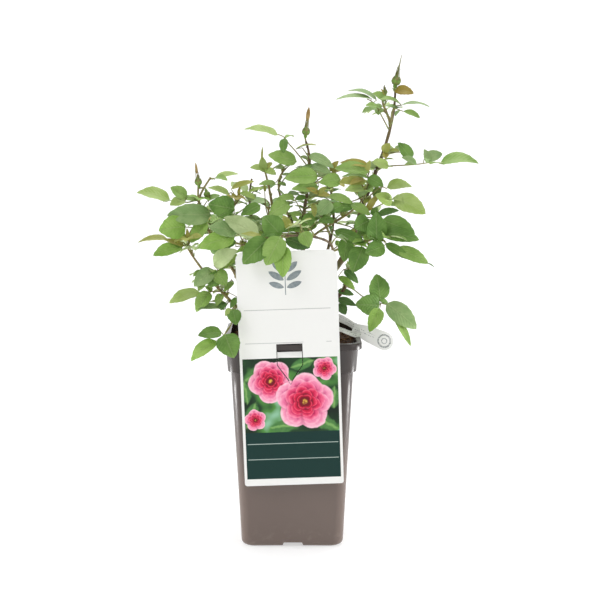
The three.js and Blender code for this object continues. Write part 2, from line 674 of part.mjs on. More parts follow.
// The leaves that a shoot's rule gives: a turn from each to the next, and the first bearing that fits.
function ruled(mass, own) {
  const roll = dice(mass.seed);
  const { shoots } = GROWN[own];
  const kept = [];
  shoots.forEach((curve, k) => {
    const first = roll() * 2 * Math.PI;
    for (let i = 0; i < mass.counts[k]; i += 1) {
      const share = mix(0.1, 0.97, (i + roll() * 0.6) / Math.max(mass.counts[k] - 0.4, 1));
      const size = mass.leaflet * (1 - TIP_SHRINK * share * share) * (0.88 + roll() * 0.24);
      const pairs = share < 0.75 ? 2 : 1;
      const bearing = first + i * TURN + (roll() - 0.5) * TURN_SPREAD;
      const rise = RISE + (roll() - 0.5) * RISE_SPREAD;
      const tilt = [roll() - 0.5, roll() - 0.5];
      const base = curve.getPoint(share);
      const reach = size * (pairs === 2 ? REACH_OF_FIVE : REACH_OF_THREE);
      const choices = REACH_SHARES.flatMap((short) => (
        OTHER_BEARINGS.map((other) => [bearing + other, reach * short])));
      for (const [way, far] of choices) {
        const flat = new THREE.Vector3(Math.cos(way), Math.sin(way), 0);
        const level = far * Math.sqrt(1 - rise * rise);
        const tip = base.clone().addScaledVector(flat, level).addScaledVector(UP, far * rise);
        const facing = new THREE.Vector3(tilt[0], tilt[1], 1).addScaledVector(flat, 0.25).normalize();
        const one = leaf(base, tip, size, pairs, facing, () => true);
        if (fits(one, own)) {
          kept.push(one);
          placedMiddles.push(...one.middles);
          break;
        }
      }
    }
  });
  return kept;
}

function foliage(mass, own, leaves) {
  const { shoots } = GROWN[own];
  const stems = shoots.map((curve, k) => (k === 0
    ? limbOn(curve, STEM_STEPS, mass.stemRadii, STEM_SIDES)
    : limbOn(curve, TWIG_STEPS, [mass.stemRadii[1] * 1.5, mass.stemRadii[1]], TWIG_SIDES)));
  const buds = mass.buds.map(([shoot, radius, tip]) => bud(shoots[shoot].getPoint(1), at(tip), radius));
  return main(joined([...stems, ...buds, ...leaves.flatMap((one) => one.pieces)].map(solid)));
}

const plant = new THREE.Group();

function add(name, geometry, color, roughness, metalness = 0) {
  const mesh = new THREE.Mesh(geometry, new THREE.MeshStandardMaterial({ color, roughness, metalness }));
  mesh.name = name;
  plant.add(mesh);
}

add('pot', shapeOf(pot()), '#776a64', 0.5);
add('soil', shapeOf(soil()), '#3b2a1e', 0.95);
add('trunk', shapeOf(trunk(0)), '#6b4a2f', 0.85);
const head = trunk(GAP);
CROWN.forEach((mass, own) => {
  const cane = solid(limbOn(GROWN[own].cane, STEM_STEPS, mass.caneRadii, 6));
  add(`cane_${mass.name}`, shapeOf(cane.subtract(head)), '#5a4534', 0.75);
});
const byHand = CROWN.map(placed);
CROWN.forEach((mass, own) => {
  const leaves = [...byHand[own], ...ruled(mass, own)];
  add(`foliage_${mass.name}`, shapeOf(foliage(mass, own, leaves)), '#6f9a4c', 0.6);
});
add('card', card(), '#e8e8e4', 0.45);
add('strap', shapeOf(joined([strapLoop(), strapTail()].map(solid))), '#dfe0dc', 0.45);

export default plant;
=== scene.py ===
# A young rose bush in its square pot, with the hanging card and the strap label it is sold with.
# Metres, +Z up; the card hangs on the -Y side.

import math

import bpy
import numpy as np
from mathutils import Matrix, Quaternion, Vector, noise


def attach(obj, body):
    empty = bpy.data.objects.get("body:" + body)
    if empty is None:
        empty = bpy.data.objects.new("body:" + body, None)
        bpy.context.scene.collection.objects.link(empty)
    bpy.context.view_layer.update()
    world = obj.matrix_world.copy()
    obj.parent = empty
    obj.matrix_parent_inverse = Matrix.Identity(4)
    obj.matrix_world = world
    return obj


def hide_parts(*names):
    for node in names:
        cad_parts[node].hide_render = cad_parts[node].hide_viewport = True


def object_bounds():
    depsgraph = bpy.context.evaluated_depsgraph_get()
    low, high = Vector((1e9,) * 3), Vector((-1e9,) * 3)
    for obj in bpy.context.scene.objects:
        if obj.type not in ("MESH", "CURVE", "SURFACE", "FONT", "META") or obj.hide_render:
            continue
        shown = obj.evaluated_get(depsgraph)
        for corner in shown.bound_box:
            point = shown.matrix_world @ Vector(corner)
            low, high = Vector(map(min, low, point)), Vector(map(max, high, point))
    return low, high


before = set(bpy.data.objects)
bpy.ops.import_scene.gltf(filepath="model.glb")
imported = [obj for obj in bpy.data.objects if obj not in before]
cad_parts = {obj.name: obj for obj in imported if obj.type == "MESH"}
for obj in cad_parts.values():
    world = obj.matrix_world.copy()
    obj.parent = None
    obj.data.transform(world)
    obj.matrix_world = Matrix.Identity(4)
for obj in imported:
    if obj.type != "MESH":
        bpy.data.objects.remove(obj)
packed_box = [[float(value) for value in corner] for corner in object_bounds()]


# Pot. A square nursery pot, 160 mm over its lip and 246 mm tall, injection moulded in one piece of
# grey-brown polypropylene, with a collar under the lip, soft corners and a drain notch in each side.
MM = 0.001
POT_HEIGHT = 246
LIP = 80
LIP_BOTTOM = 238
COLLAR_TOP = 76
COLLAR_FOOT = 74
COLLAR_BOTTOM = 211
BODY_TOP = 70.5
FOOT = 60
WALL = 1.8
FLOOR = 8
FOOT_ROUND = 7.5
WALL_STEPS = 12
CORNER_SHARE = 0.2
CORNER_STEPS = 9
SIDE_STEPS = 8
SIDE_SINK = 0.7
LIP_SINK = 0.3
NOTCH = [(-12, -1), (13.5, -1), (11.5, 5.5), (-10, 5.5)]
NOTCH_DEPTH = 36
CREASE = math.radians(40)


class Reading:
    """One value in a tree of nodes; Python's own signs on it add the Math nodes."""

    def __init__(self, nodes, socket):
        self.nodes, self.socket = nodes, socket

    def worked(self, operation, first, second=0.0):
        return self.nodes.node("ShaderNodeMath", {"operation": operation}, {0: first, 1: second})

    def under(self, operation, other=0.0): return self.worked(operation, self, other)
    def most(self, other): return self.under("MAXIMUM", other)
    def within(self, low, high): return (self > low) * (self < high)

    def __add__(self, other): return self.under("ADD", other)
    def __radd__(self, other): return self.worked("ADD", other, self)
    def __sub__(self, other): return self.under("SUBTRACT", other)
    def __rsub__(self, other): return self.worked("SUBTRACT", other, self)
    def __mul__(self, other): return self.under("MULTIPLY", other)
    def __rmul__(self, other): return self.worked("MULTIPLY", other, self)
    def __truediv__(self, other): return self.under("DIVIDE", other)
    def __gt__(self, other): return self.under("GREATER_THAN", other)
    def __lt__(self, other): return self.under("LESS_THAN", other)
    def __abs__(self): return self.under("ABSOLUTE")

    def eased(self, low, high):
        """0 up to low and 1 from high, with a smooth change between."""
        settings = {"interpolation_type": "SMOOTHSTEP"}
        return self.nodes.node("ShaderNodeMapRange", settings, {"Value": self, "From Min": low, "From Max": high})


class Nodes:
    """A tree of nodes: node() adds one of any kind, with its settings first and then its values or links."""

    def __init__(self, tree):
        self.tree = tree

    def node(self, kind, settings=(), values=(), output=0):
        made = self.tree.nodes.new(kind)
        for name, value in dict(settings).items():
            if name == "stops":
                band = made.color_ramp
                while len(band.elements) < len(value):
                    band.elements.new(1)
                for element, (place, colour) in zip(band.elements, value):
                    element.position, element.color = place, colour
            else:
                setattr(made, name, value)
        for name, value in dict(values).items():
            self.feed(made.inputs[name], value)
        return Reading(self, made.outputs[output])

    def feed(self, socket, value):
        if isinstance(value, Reading):
            self.tree.links.new(value.socket, socket)
        else:
            socket.default_value = value

    def part(self, vector, axis):
        return self.node("ShaderNodeSeparateXYZ", {}, {"Vector": vector}, output=axis)


def shade(code):
    """A colour written as on a paint chart, in the light's own measure."""
    parts = [int(code[k:k + 2], 16) / 255 for k in (1, 3, 5)]
    return [p / 12.92 if p <= 0.04045 else ((p + 0.055) / 1.055) ** 2.4 for p in parts] + [1.0]


class Finish(Nodes):
    """A material: constants go on the shader's own sockets, and show() links what varies."""

    def __init__(self, name, **constants):
        self.material = bpy.data.materials.new(name)
        self.material.use_nodes = True
        super().__init__(self.material.node_tree)
        self.shader = self.tree.nodes["Principled BSDF"]
        for socket, value in constants.items():
            self.shader.inputs[socket.replace("_", " ")].default_value = value

    def here(self, shift=(0, 0, 0), stretch=(1, 1, 1)):
        where = self.node("ShaderNodeTexCoord", output="Object")
        values = {"Vector": where, "Location": shift, "Scale": stretch}
        return self.node("ShaderNodeMapping", {"vector_type": "POINT"}, values)

    def grain(self, where, scale, detail=3.0, roughness=0.55):
        values = {"Vector": where, "Scale": scale, "Detail": detail, "Roughness": roughness}
        return self.node("ShaderNodeTexNoise", {}, values)

    def mixed(self, share, first, second):
        """A blend of two colours, each a reading or a paint code."""
        first, second = (shade(tone) if isinstance(tone, str) else tone for tone in (first, second))
        return self.node("ShaderNodeMix", {"data_type": "RGBA"}, {0: share, 6: first, 7: second}, output=2)

    def banded(self, value, places, codes):
        stops = [(place, shade(code)) for place, code in zip(places, codes)]
        return self.node("ShaderNodeValToRGB", {"stops": stops}, {"Fac": value})

    def relief(self, height, distance, strength=1.0):
        return self.node("ShaderNodeBump", {}, {"Height": height, "Distance": distance, "Strength": strength})

    def show(self, **readings):
        for socket, value in readings.items():
            self.feed(self.shader.inputs[socket.replace("_", " ")], value)
        return self.material


def made_piece(name, points, faces, materials):
    """A mesh object from points in millimetres; its place is in its mesh."""
    mesh = bpy.data.meshes.new(name)
    mesh.from_pydata([tuple(np.asarray(p, float) * MM) for p in points], [], faces)
    for material in materials:
        mesh.materials.append(material)
    mesh.polygons.foreach_set("use_smooth", [True] * len(mesh.polygons))
    made = bpy.data.objects.new(name, mesh)
    bpy.context.scene.collection.objects.link(made)
    return made


def settled(piece):
    """The piece's own mesh with its modifiers worked into it, and none left on it."""
    shaped = bpy.data.meshes.new_from_object(piece.evaluated_get(bpy.context.evaluated_depsgraph_get()))
    shaped.name = piece.name
    piece.modifiers.clear()
    old, piece.data = piece.data, shaped
    bpy.data.meshes.remove(old)
    return piece


def fixed(piece, slot, *nodes):
    """A piece rides with the pot and stands for some nodes, which it hides; its slot is not used."""
    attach(piece, "root")
    if nodes:
        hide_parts(*nodes)


def squared_ring(half, height, sink=0.0):
    """One turn of a rounded square, with its sides sunk a little in their middles."""
    flat, ring = half * (1 - CORNER_SHARE), []
    for corner in range(4):
        middle = (corner + 0.5) * math.pi / 2
        for step in range(CORNER_STEPS + 1):
            angle = (corner + step / CORNER_STEPS) * math.pi / 2
            ring.append((math.copysign(flat, math.cos(middle)) + half * CORNER_SHARE * math.cos(angle),
                         math.copysign(flat, math.sin(middle)) + half * CORNER_SHARE * math.sin(angle), height))
        cos, sin = math.cos((corner + 1) * math.pi / 2), math.sin((corner + 1) * math.pi / 2)
        for step in range(1, SIDE_STEPS):
            share = 2 * step / SIDE_STEPS - 1
            out, across = half - sink * (1 - share ** 2), share * flat
            ring.append((cos * out - sin * across, sin * out + cos * across, height))
    return ring


def lofted(rings):
    """Points and faces that join rings of equal length, closed by a plain face at each end."""
    points = [place for ring in rings for place in ring]
    count = len(rings[0])
    faces = [(k * count + i, k * count + (i + 1) % count, (k + 1) * count + (i + 1) % count, (k + 1) * count + i)
             for k in range(len(rings) - 1) for i in range(count)]
    end = (len(rings) - 1) * count
    return points, faces + [tuple(reversed(range(count))), tuple(end + i for i in range(count))]


def pot_wall():
    """Half widths and heights, up the outside from the foot, over the lip and down the inside."""
    outside = [(FOOT - FOOT_ROUND * (1 - math.sin(a)), FOOT_ROUND * (1 - math.cos(a)))
               for a in (k * math.pi / WALL_STEPS for k in range(WALL_STEPS // 2 + 1))]
    outside += [(FOOT + (BODY_TOP - FOOT) * share, FOOT_ROUND + (COLLAR_BOTTOM - 1 - FOOT_ROUND) * share)
                for share in (k / WALL_STEPS for k in range(1, WALL_STEPS + 1))]
    outside += [(BODY_TOP + 0.3, COLLAR_BOTTOM - 0.3), (COLLAR_FOOT - 0.7, COLLAR_BOTTOM),
                (COLLAR_FOOT, COLLAR_BOTTOM + 0.7), (COLLAR_TOP, LIP_BOTTOM - 0.8), (COLLAR_TOP + 0.5, LIP_BOTTOM),
                (LIP - 0.8, LIP_BOTTOM), (LIP, LIP_BOTTOM + 0.8), (LIP, POT_HEIGHT - 1.2),
                (LIP - 0.4, POT_HEIGHT - 0.4), (LIP - 1.2, POT_HEIGHT)]
    inside = [(COLLAR_TOP - WALL + 0.6, POT_HEIGHT), (COLLAR_TOP - WALL, POT_HEIGHT - 0.6),
              (COLLAR_TOP - WALL, LIP_BOTTOM), (COLLAR_FOOT - WALL, COLLAR_BOTTOM + WALL),
              (BODY_TOP - WALL, COLLAR_BOTTOM - WALL), (FOOT - WALL, FLOOR)]
    return outside + inside


def pot_finish():
    finish = Finish("pot_polypropylene", Specular_IOR_Level=0.6)
    where = finish.here()
    cloud = finish.grain(where, 9.0, 4.0)
    drawn = finish.grain(finish.here(stretch=(60, 60, 4)), 5.0, 4.0)
    pebbled = finish.grain(where, 900.0, 2.0)
    height = finish.part(where, "Z")
    scuff = drawn.eased(0.68, 0.82) * 0.14
    dust = (1 - height.eased(0.0, 0.035)) * finish.grain(where, 120.0).eased(0.5, 0.75) * 0.25
    # Low on the body the pot's own grey-brown; higher up a darker copy of it, eased in with height: painted shade from
    # the card and the crown above.
    lower_colour = finish.mixed(cloud, "#5F5049", "#695A52")
    shaded_upper_colour = finish.mixed(cloud, "#372D2A", "#413632")
    body = finish.mixed(height.eased(0.06, 0.19), lower_colour, shaded_upper_colour)
    # A near-black band mixed in just under the lip: painted shadow of the lip.
    body = finish.mixed(height.eased(0.185, 0.225) * 0.6, body, "#1E1816")
    body = finish.mixed(scuff, body, "#857973")
    body = finish.mixed(dust, body, "#8E8073")
    return finish.show(Base_Color=body, Roughness=0.2 + cloud * 0.08 + scuff * 0.3,
                       Normal=finish.relief(pebbled * 0.7 + drawn * 0.3, 0.00008, 0.4))


rings = [squared_ring(half, height, SIDE_SINK if half < LIP else LIP_SINK) for half, height in pot_wall()]
pot = made_piece("pot_shell", *lofted(rings), [pot_finish()])
cutters = []
for quarter in range(4):
    turned = Matrix.Rotation(quarter * math.pi / 2, 3, "Z")
    ends = [[turned @ Vector((x, y, z)) for x, z in NOTCH] for y in (NOTCH_DEPTH - FOOT - 1, -FOOT - 1)]
    cutters.append(made_piece("notch_cutter", *lofted(ends), []))
    cut = pot.modifiers.new("notch", "BOOLEAN")
    cut.object, cut.operation, cut.solver = cutters[-1], "DIFFERENCE", "EXACT"
settled(pot)
for cutter in cutters:
    bpy.data.objects.remove(cutter)
pot.data.set_sharp_from_angle(angle=CREASE)
fixed(pot, "pot_plastic", "pot")


# Compost. Peat and bark compost fills the pot to 10 mm under the lip; its top is loose, with bits of
# bark and straw lying on it and a little of it drawn up round the stem.
COMPOST_TOP = 236
COMPOST_RINGS = 26
COMPOST_ROUGH = [(0.055, Vector((0, 0, 0)), 2.53), (0.21, Vector((7, 3, 0)), 2.07)]
NECK_HEAP = 2.2
NECK_REACH = 17
EDGE_DROP = 0.8


def compost_finish(name, dark, light, high):
    finish = Finish(name, Specular_IOR_Level=0.25)
    where = finish.here()
    crumbs = finish.grain(where, 260.0, 5.0, 0.7)
    patch = finish.grain(where, 40.0, 3.0)
    tone = finish.mixed(crumbs.eased(0.35, 0.7), dark, light)
    tone = finish.mixed(patch.eased(0.55, 0.75) * 0.5, tone, high)
    return finish.show(Base_Color=tone, Roughness=0.85 + patch * 0.15, Normal=finish.relief(crumbs, 0.0012, 0.9))


def compost_height(x, y):
    spot = Vector((x, y, 0))
    rough = sum(noise.noise(spot * scale + shift) * height for scale, shift, height in COMPOST_ROUGH)
    return COMPOST_TOP + rough + NECK_HEAP * math.exp(-(math.hypot(x, y) / NECK_REACH) ** 2)


rings = [squared_ring(half - WALL - 0.4, height) for half, height in
         [(FOOT, FLOOR + 0.4), (BODY_TOP, COLLAR_BOTTOM - WALL), (COLLAR_FOOT, COLLAR_BOTTOM + WALL)]]
for k in range(COMPOST_RINGS, 0, -1):
    ring = squared_ring((COLLAR_TOP - WALL - 0.9) * k / COMPOST_RINGS, 0)
    rings.append([(x, y, compost_height(x, y) - EDGE_DROP * (k == COMPOST_RINGS)) for x, y, z in ring])
compost = made_piece("compost_bed", *lofted(rings), [compost_finish("compost", "#1F140D", "#5B3A22", "#7A5230")])


def scatter_recipe():
    """Geometry nodes that strew copies of a piece over the faces of another that look up enough."""
    tree = bpy.data.node_groups.new("strewn", "GeometryNodeTree")
    wanted = {"Geometry": "Geometry", "Bit": "Object", "Finish": "Material", "Per Square Metre": "Float",
              "Seed": "Int", "Least Up": "Float", "Smallest": "Float", "Largest": "Float", "Tilt": "Float"}
    for name, kind in wanted.items():
        tree.interface.new_socket(name, in_out="INPUT", socket_type=f"NodeSocket{kind}")
    tree.interface.new_socket("Geometry", in_out="OUTPUT", socket_type="NodeSocketGeometry")
    nodes = Nodes(tree)
    given = {name: nodes.node("NodeGroupInput", output=k) for k, name in enumerate(wanted)}
    up = nodes.part(nodes.node("GeometryNodeInputNormal"), "Z")
    spread = nodes.node("GeometryNodeDistributePointsOnFaces", {"distribute_method": "RANDOM"},
                        {"Mesh": given["Geometry"], "Selection": up > given["Least Up"],
                         "Density": given["Per Square Metre"], "Seed": given["Seed"]})
    facing = Reading(nodes, spread.socket.node.outputs["Rotation"])
    tilt, way = given["Tilt"], -1 * given["Tilt"]
    values = {"Min": nodes.node("ShaderNodeCombineXYZ", {}, {0: way, 1: way, 2: -3.14}),
              "Max": nodes.node("ShaderNodeCombineXYZ", {}, {0: tilt, 1: tilt, 2: 3.14}), "Seed": given["Seed"]}
    spin = nodes.node("FunctionNodeRandomValue", {"data_type": "FLOAT_VECTOR"}, values)
    turned = nodes.node("FunctionNodeRotateRotation", {"rotation_space": "LOCAL"},
                        {0: facing, 1: nodes.node("FunctionNodeEulerToRotation", {}, {0: spin})})
    size = nodes.node("FunctionNodeRandomValue", {"data_type": "FLOAT"},
                      {2: given["Smallest"], 3: given["Largest"], "Seed": given["Seed"] + 1}, output=1)
    bit = nodes.node("GeometryNodeObjectInfo", {}, {"Object": given["Bit"]}, output="Geometry")
    laid = nodes.node("GeometryNodeInstanceOnPoints", {},
                      {"Points": spread, "Instance": bit, "Rotation": turned, "Scale": size})
    real = nodes.node("GeometryNodeRealizeInstances", {}, {"Geometry": laid})
    done = nodes.node("GeometryNodeSetMaterial", {}, {"Geometry": real, "Material": given["Finish"]})
    nodes.feed(tree.nodes.new("NodeGroupOutput").inputs["Geometry"], done)
    return tree


strewn = scatter_recipe()


def scattered(name, bed, bit, finish, **inputs):
    """A piece of copies of a small bit, strewn over a bed."""
    spread = bpy.data.objects.new(name, bed.data.copy())
    bpy.context.scene.collection.objects.link(spread)
    rule = spread.modifiers.new("strewn", "NODES")
    rule.node_group = strewn
    inputs = {"Bit": bit, "Finish": finish, **{key.replace("_", " "): value for key, value in inputs.items()}}
    for item in strewn.interface.items_tree:
        if item.item_type == "SOCKET" and item.name in inputs:
            rule[item.identifier] = inputs[item.name]
    settled(spread).data.polygons.foreach_set("use_smooth", [False] * len(spread.data.polygons))
    bpy.data.objects.remove(bit)
    return spread


def flake(length, width, thick, bow):
    """A rough flake or sliver, six-sided, thicker in its middle and bowed along its length."""
    ends = []
    for share, wide in ((-0.5, 0.35), (-0.18, 1.0), (0.2, 0.85), (0.5, 0.3)):
        lift = bow * (1 - 4 * share * share)
        ends.append([(length * share, wide * width * a, lift + wide * thick * b)
                     for a, b in ((-0.5, 0), (-0.2, 0.5), (0.3, 0.45), (0.5, 0), (0.15, -0.4), (-0.3, -0.35))])
    return made_piece("flake", *lofted(ends), [])


bark_bits = scattered("compost_bark_bits", compost, flake(7, 3.6, 1.8, 0.6),
                      compost_finish("bark_chip", "#2E1D12", "#6E4527", "#8A5F38"),
                      Per_Square_Metre=17000.0, Seed=4, Least_Up=0.7, Smallest=0.35, Largest=1.25, Tilt=0.5)
straws = scattered("compost_straws", compost, flake(15, 0.7, 0.6, 1.2),
                   compost_finish("straw", "#7A5A34", "#A98552", "#C2A26C"),
                   Per_Square_Metre=2600.0, Seed=9, Least_Up=0.7, Smallest=0.4, Largest=1.3, Tilt=0.35)
fixed(compost, "compost", "soil")
fixed(bark_bits, "compost")
fixed(straws, "compost")


# Woody frame. A short trunk with a knobbly graft head carries nine canes, brown and barky at the
# foot and greener towards their tips, where each leafy stem grows on. All of it is one grown body.
HEAD = Vector((3, 0, 270))
TRUNK_PATH = [(0, 0, 236.3), (0.6, 0, 248), (1.6, 0, 259), (3, 0, 270), (3.6, 0, 280)]
TRUNK_RADII = [15, 10, 9.6, 13, 7]
TRUNK_STEPS = 6
TRUNK_SIDES = 26
CANE_SIDES = 12
CANE_STEPS = 34
CANE_ROUGH = 0.14
SCAR_EVERY = 7
SCAR_SWELLS = {2: 0.05, 3: 0.16, 4: 0.05}
UP = Vector((0, 0, 1))
FRONT = Vector((0, -1, 0))

CROWN = {
    "tall": dict(seed=5, out=(0.7, 0.1, 0.7), cane_middle=(44, 6, 312), cane_tip=(74, 8, 366), cane_radii=(4.3, 3),
                 middle=(102, 10, 445), tip=(120, 5, 530), radii=(2.9, 1.1),
                 shoots=[(0.74, (109, 7, 508), (108, 5, 522))], leaflet=29, counts=(3, 0)),
    "centre": dict(seed=12, out=(0.1, -0.1, 1), cane_middle=(12, -4, 302), cane_tip=(15, -5, 333),
                   cane_radii=(3.4, 2.6), middle=(16, -5, 404), tip=(16, -5, 472), radii=(2.5, 1.1),
                   shoots=[(0.08, (-9, -2, 395), (-8, -2, 440)), (0.04, (56, 12, 380), (78, 15, 428))],
                   leaflet=30, counts=(3, 2, 2)),
    "middle_left": dict(seed=21, out=(-0.45, 0.15, 0.9), cane_middle=(-12, 3, 300), cane_tip=(-20, 5, 326),
                        cane_radii=(3, 2.4), middle=(-22, 10, 380), tip=(-32, 10, 436), radii=(2.3, 1),
                        shoots=[(0.1, (-54, -12, 366), (-63, -18, 404))], leaflet=28, counts=(4, 2)),
    "left": dict(seed=34, out=(-0.85, -0.1, 0.5), cane_middle=(-36, -1, 282), cane_tip=(-62, -4, 301),
                 cane_radii=(3.2, 2.5), middle=(-90, -10, 355), tip=(-109, -15, 420), radii=(2.4, 0.95),
                 shoots=[(0.86, (-103, -14, 418), (-95, -13, 431))], leaflet=28, counts=(4, 0)),
    "low_left": dict(seed=45, out=(-0.8, -0.45, 0.15), cane_middle=(-34, -13, 272), cane_tip=(-64, -20, 279),
                     cane_radii=(2.8, 2.2), middle=(-97, -25, 315), tip=(-122, -30, 352), radii=(2.1, 0.9),
                     shoots=[], leaflet=26, counts=(4,)),
    "front": dict(seed=56, out=(0.45, -0.75, 0.5), cane_middle=(26, -18, 292), cane_tip=(42, -26, 320),
                  cane_radii=(2.7, 2.1), middle=(46, -46, 353), tip=(-8, -91, 371), radii=(2, 1),
                  shoots=[], leaflet=26, counts=(3,)),
    "right": dict(seed=67, out=(0.95, -0.3, 0.25), cane_middle=(38, -6, 281), cane_tip=(62, -8, 302),
                  cane_radii=(3, 2.4), middle=(82, -14, 340), tip=(106, -18, 360), radii=(2.3, 1),
                  shoots=[], leaflet=27, counts=(4,)),
    "back_left": dict(seed=78, out=(-0.4, 0.75, 0.5), cane_middle=(-14, 24, 290), cane_tip=(-26, 42, 314),
                      cane_radii=(3, 2.3), middle=(-44, 62, 358), tip=(-50, 76, 424), radii=(2.2, 1),
                      shoots=[(0.15, (-74, 56, 348), (-98, 66, 372)), (0.35, (-34, 96, 366), (-36, 112, 392))],
                      leaflet=31, counts=(5, 4, 3)),
    "back_right": dict(seed=89, out=(0.45, 0.75, 0.5), cane_middle=(22, 24, 290), cane_tip=(36, 42, 314),
                       cane_radii=(3, 2.3), middle=(48, 62, 358), tip=(44, 76, 418), radii=(2.2, 1),
                       shoots=[(0.15, (82, 58, 346), (108, 62, 376)), (0.35, (42, 98, 362), (48, 114, 386))],
                       leaflet=31, counts=(5, 4, 3)),
}


class Sweep:
    """A curve that leaves start along a direction, passes middle halfway and ends at its end."""

    def __init__(self, start, direction, middle, end):
        start, middle, end = Vector(start), Vector(middle), Vector(end)
        first = start + Vector(direction).normalized() * (middle - start).length * 0.6
        self.places = start, first, (middle * 8 - start - first * 3 - end) / 3, end

    def at(self, share):
        a, b, c, d = self.places
        rest = 1 - share
        return a * rest ** 3 + b * (3 * rest * rest * share) + c * (3 * rest * share ** 2) + d * share ** 3

    def heading(self, share):
        low, high = max(share - 1e-3, 0), min(share + 1e-3, 1)
        return (self.at(high) - self.at(low)).normalized()


def between(first, second, share):
    return first + (second - first) * share


def tube(places, radii, sides, knots=None):
    """Points and faces of a tapering round limb, closed at both ends; knots moves a point outwards."""
    across = Vector((1, 0, 0.2))
    rings = []
    for k, place in enumerate(places):
        forward = (places[min(k + 1, len(places) - 1)] - places[max(k - 1, 0)]).normalized()
        across = across - forward * across.dot(forward)
        if across.length < 0.1:
            across = forward.cross(FRONT)
        across.normalize()
        other = forward.cross(across)
        ring = []
        for i in range(sides):
            angle = 2 * math.pi * i / sides
            out = across * math.cos(angle) + other * math.sin(angle)
            ring.append(place + out * (radii[k] + (knots(place + out * radii[k], k) if knots else 0)))
        rings.append(ring)
    return lofted(rings)


def stretched_noise(point, across, up):
    return noise.noise(Vector((point.x * across, point.y * across, point.z * up)))


def barked(curve, radii, steps, rough):
    """A cane with its bark's relief, its leaf scars and a slight swelling at each of them."""
    shares = [k / steps for k in range(steps + 1)]

    def knots(point, k):
        swell = SCAR_SWELLS.get(k % SCAR_EVERY, 0)
        return between(*radii, shares[k]) * (swell + rough * stretched_noise(point, 0.9, 0.16))

    return tube([curve.at(share) for share in shares], [between(*radii, share) for share in shares], CANE_SIDES, knots)


class Heap:
    """Points, faces and their finishes gathered for one joined mesh, in millimetres."""

    def __init__(self):
        self.points, self.faces, self.slots, self.layout = [], [], [], []

    def add(self, shape, slot=0, layout=None):
        points, faces = shape
        start = len(self.points)
        self.points += [tuple(point) for point in points]
        self.faces += [tuple(start + corner for corner in face) for face in faces]
        self.slots += slot if isinstance(slot, list) else [slot] * len(faces)
        self.layout += layout or [(0.0, 0.0)] * len(points)

    def piece(self, name, materials):
        made = made_piece(name, self.points, self.faces, materials)
        mesh = made.data
        mesh.polygons.foreach_set("material_index", self.slots)
        corners = np.zeros(len(mesh.loops), np.int32)
        mesh.loops.foreach_get("vertex_index", corners)
        chart = mesh.uv_layers.new(name="blade")
        chart.data.foreach_set("uv", np.array(self.layout, np.float32)[corners].ravel())
        mesh.update()
        return made


def bark_finish():
    finish = Finish("rose_bark", Specular_IOR_Level=0.4)
    where = finish.here()
    fibres = finish.grain(finish.here(stretch=(1, 1, 0.22)), 420.0, 5.0, 0.65)
    patch = finish.grain(where, 70.0, 4.0)
    ripe = (finish.part(where, "Z") + (patch - 0.5) * 0.06).eased(0.27, 0.38)
    wood = finish.mixed(fibres.eased(0.35, 0.68), "#33231A", "#7A5B42")
    young = finish.mixed(patch.eased(0.35, 0.7), "#5A4A34", "#76803F")
    return finish.show(Base_Color=finish.mixed(ripe * 0.8, wood, young), Roughness=0.8 - ripe * 0.28,
                       Normal=finish.relief(fibres * 0.7 + patch * 0.3, 0.0009, 0.8))


def gnarled(point, k):
    """The graft head's knobs and ridges, which fade out towards the trunk's foot."""
    return (noise.noise(point * 0.11) * 1.8 + stretched_noise(point, 0.5, 0.12) * 0.9) * min(1, k / 5)


trunk_places = [Vector(place) for place in TRUNK_PATH]
trunk_rings, trunk_radii = [], []
for k in range(len(trunk_places) - 1):
    for step in range(TRUNK_STEPS):
        ease = (1 - math.cos(math.pi * step / TRUNK_STEPS)) / 2
        trunk_rings.append(trunk_places[k].lerp(trunk_places[k + 1], step / TRUNK_STEPS))
        trunk_radii.append(between(TRUNK_RADII[k], TRUNK_RADII[k + 1], ease))
woody = Heap()
woody.add(tube(trunk_rings + trunk_places[-1:], trunk_radii + TRUNK_RADII[-1:], TRUNK_SIDES, gnarled))
canes, shoots = {}, {}
for name, mass in CROWN.items():
    canes[name] = Sweep(HEAD, mass["out"], mass["cane_middle"], mass["cane_tip"])
    foot, leaving = canes[name].at(1), canes[name].heading(1)
    stem = Sweep(foot + leaving * 0.3, leaving, mass["middle"], mass["tip"])
    shoots[name] = [stem] + [Sweep(stem.at(share), stem.heading(share), middle, tip)
                             for share, middle, tip in mass["shoots"]]
    woody.add(barked(canes[name], mass["cane_radii"], CANE_STEPS, CANE_ROUGH))
frame_of_wood = woody.piece("woody_frame", [bark_finish()])
fixed(frame_of_wood, "bark", "trunk", *(f"cane_{name}" for name in CROWN))


# Leaves. Each is a stalk with stipules at its foot, one leaflet at its end and pairs beside it; the
# blades are thin, toothed, folded on the midrib, glossy above and pale below. Those that face the
# camera are set out one by one, as seen on a plane 15 mm in front of the stem.
EYE = Vector((9.1, -1600, 524))
PLANE = -15
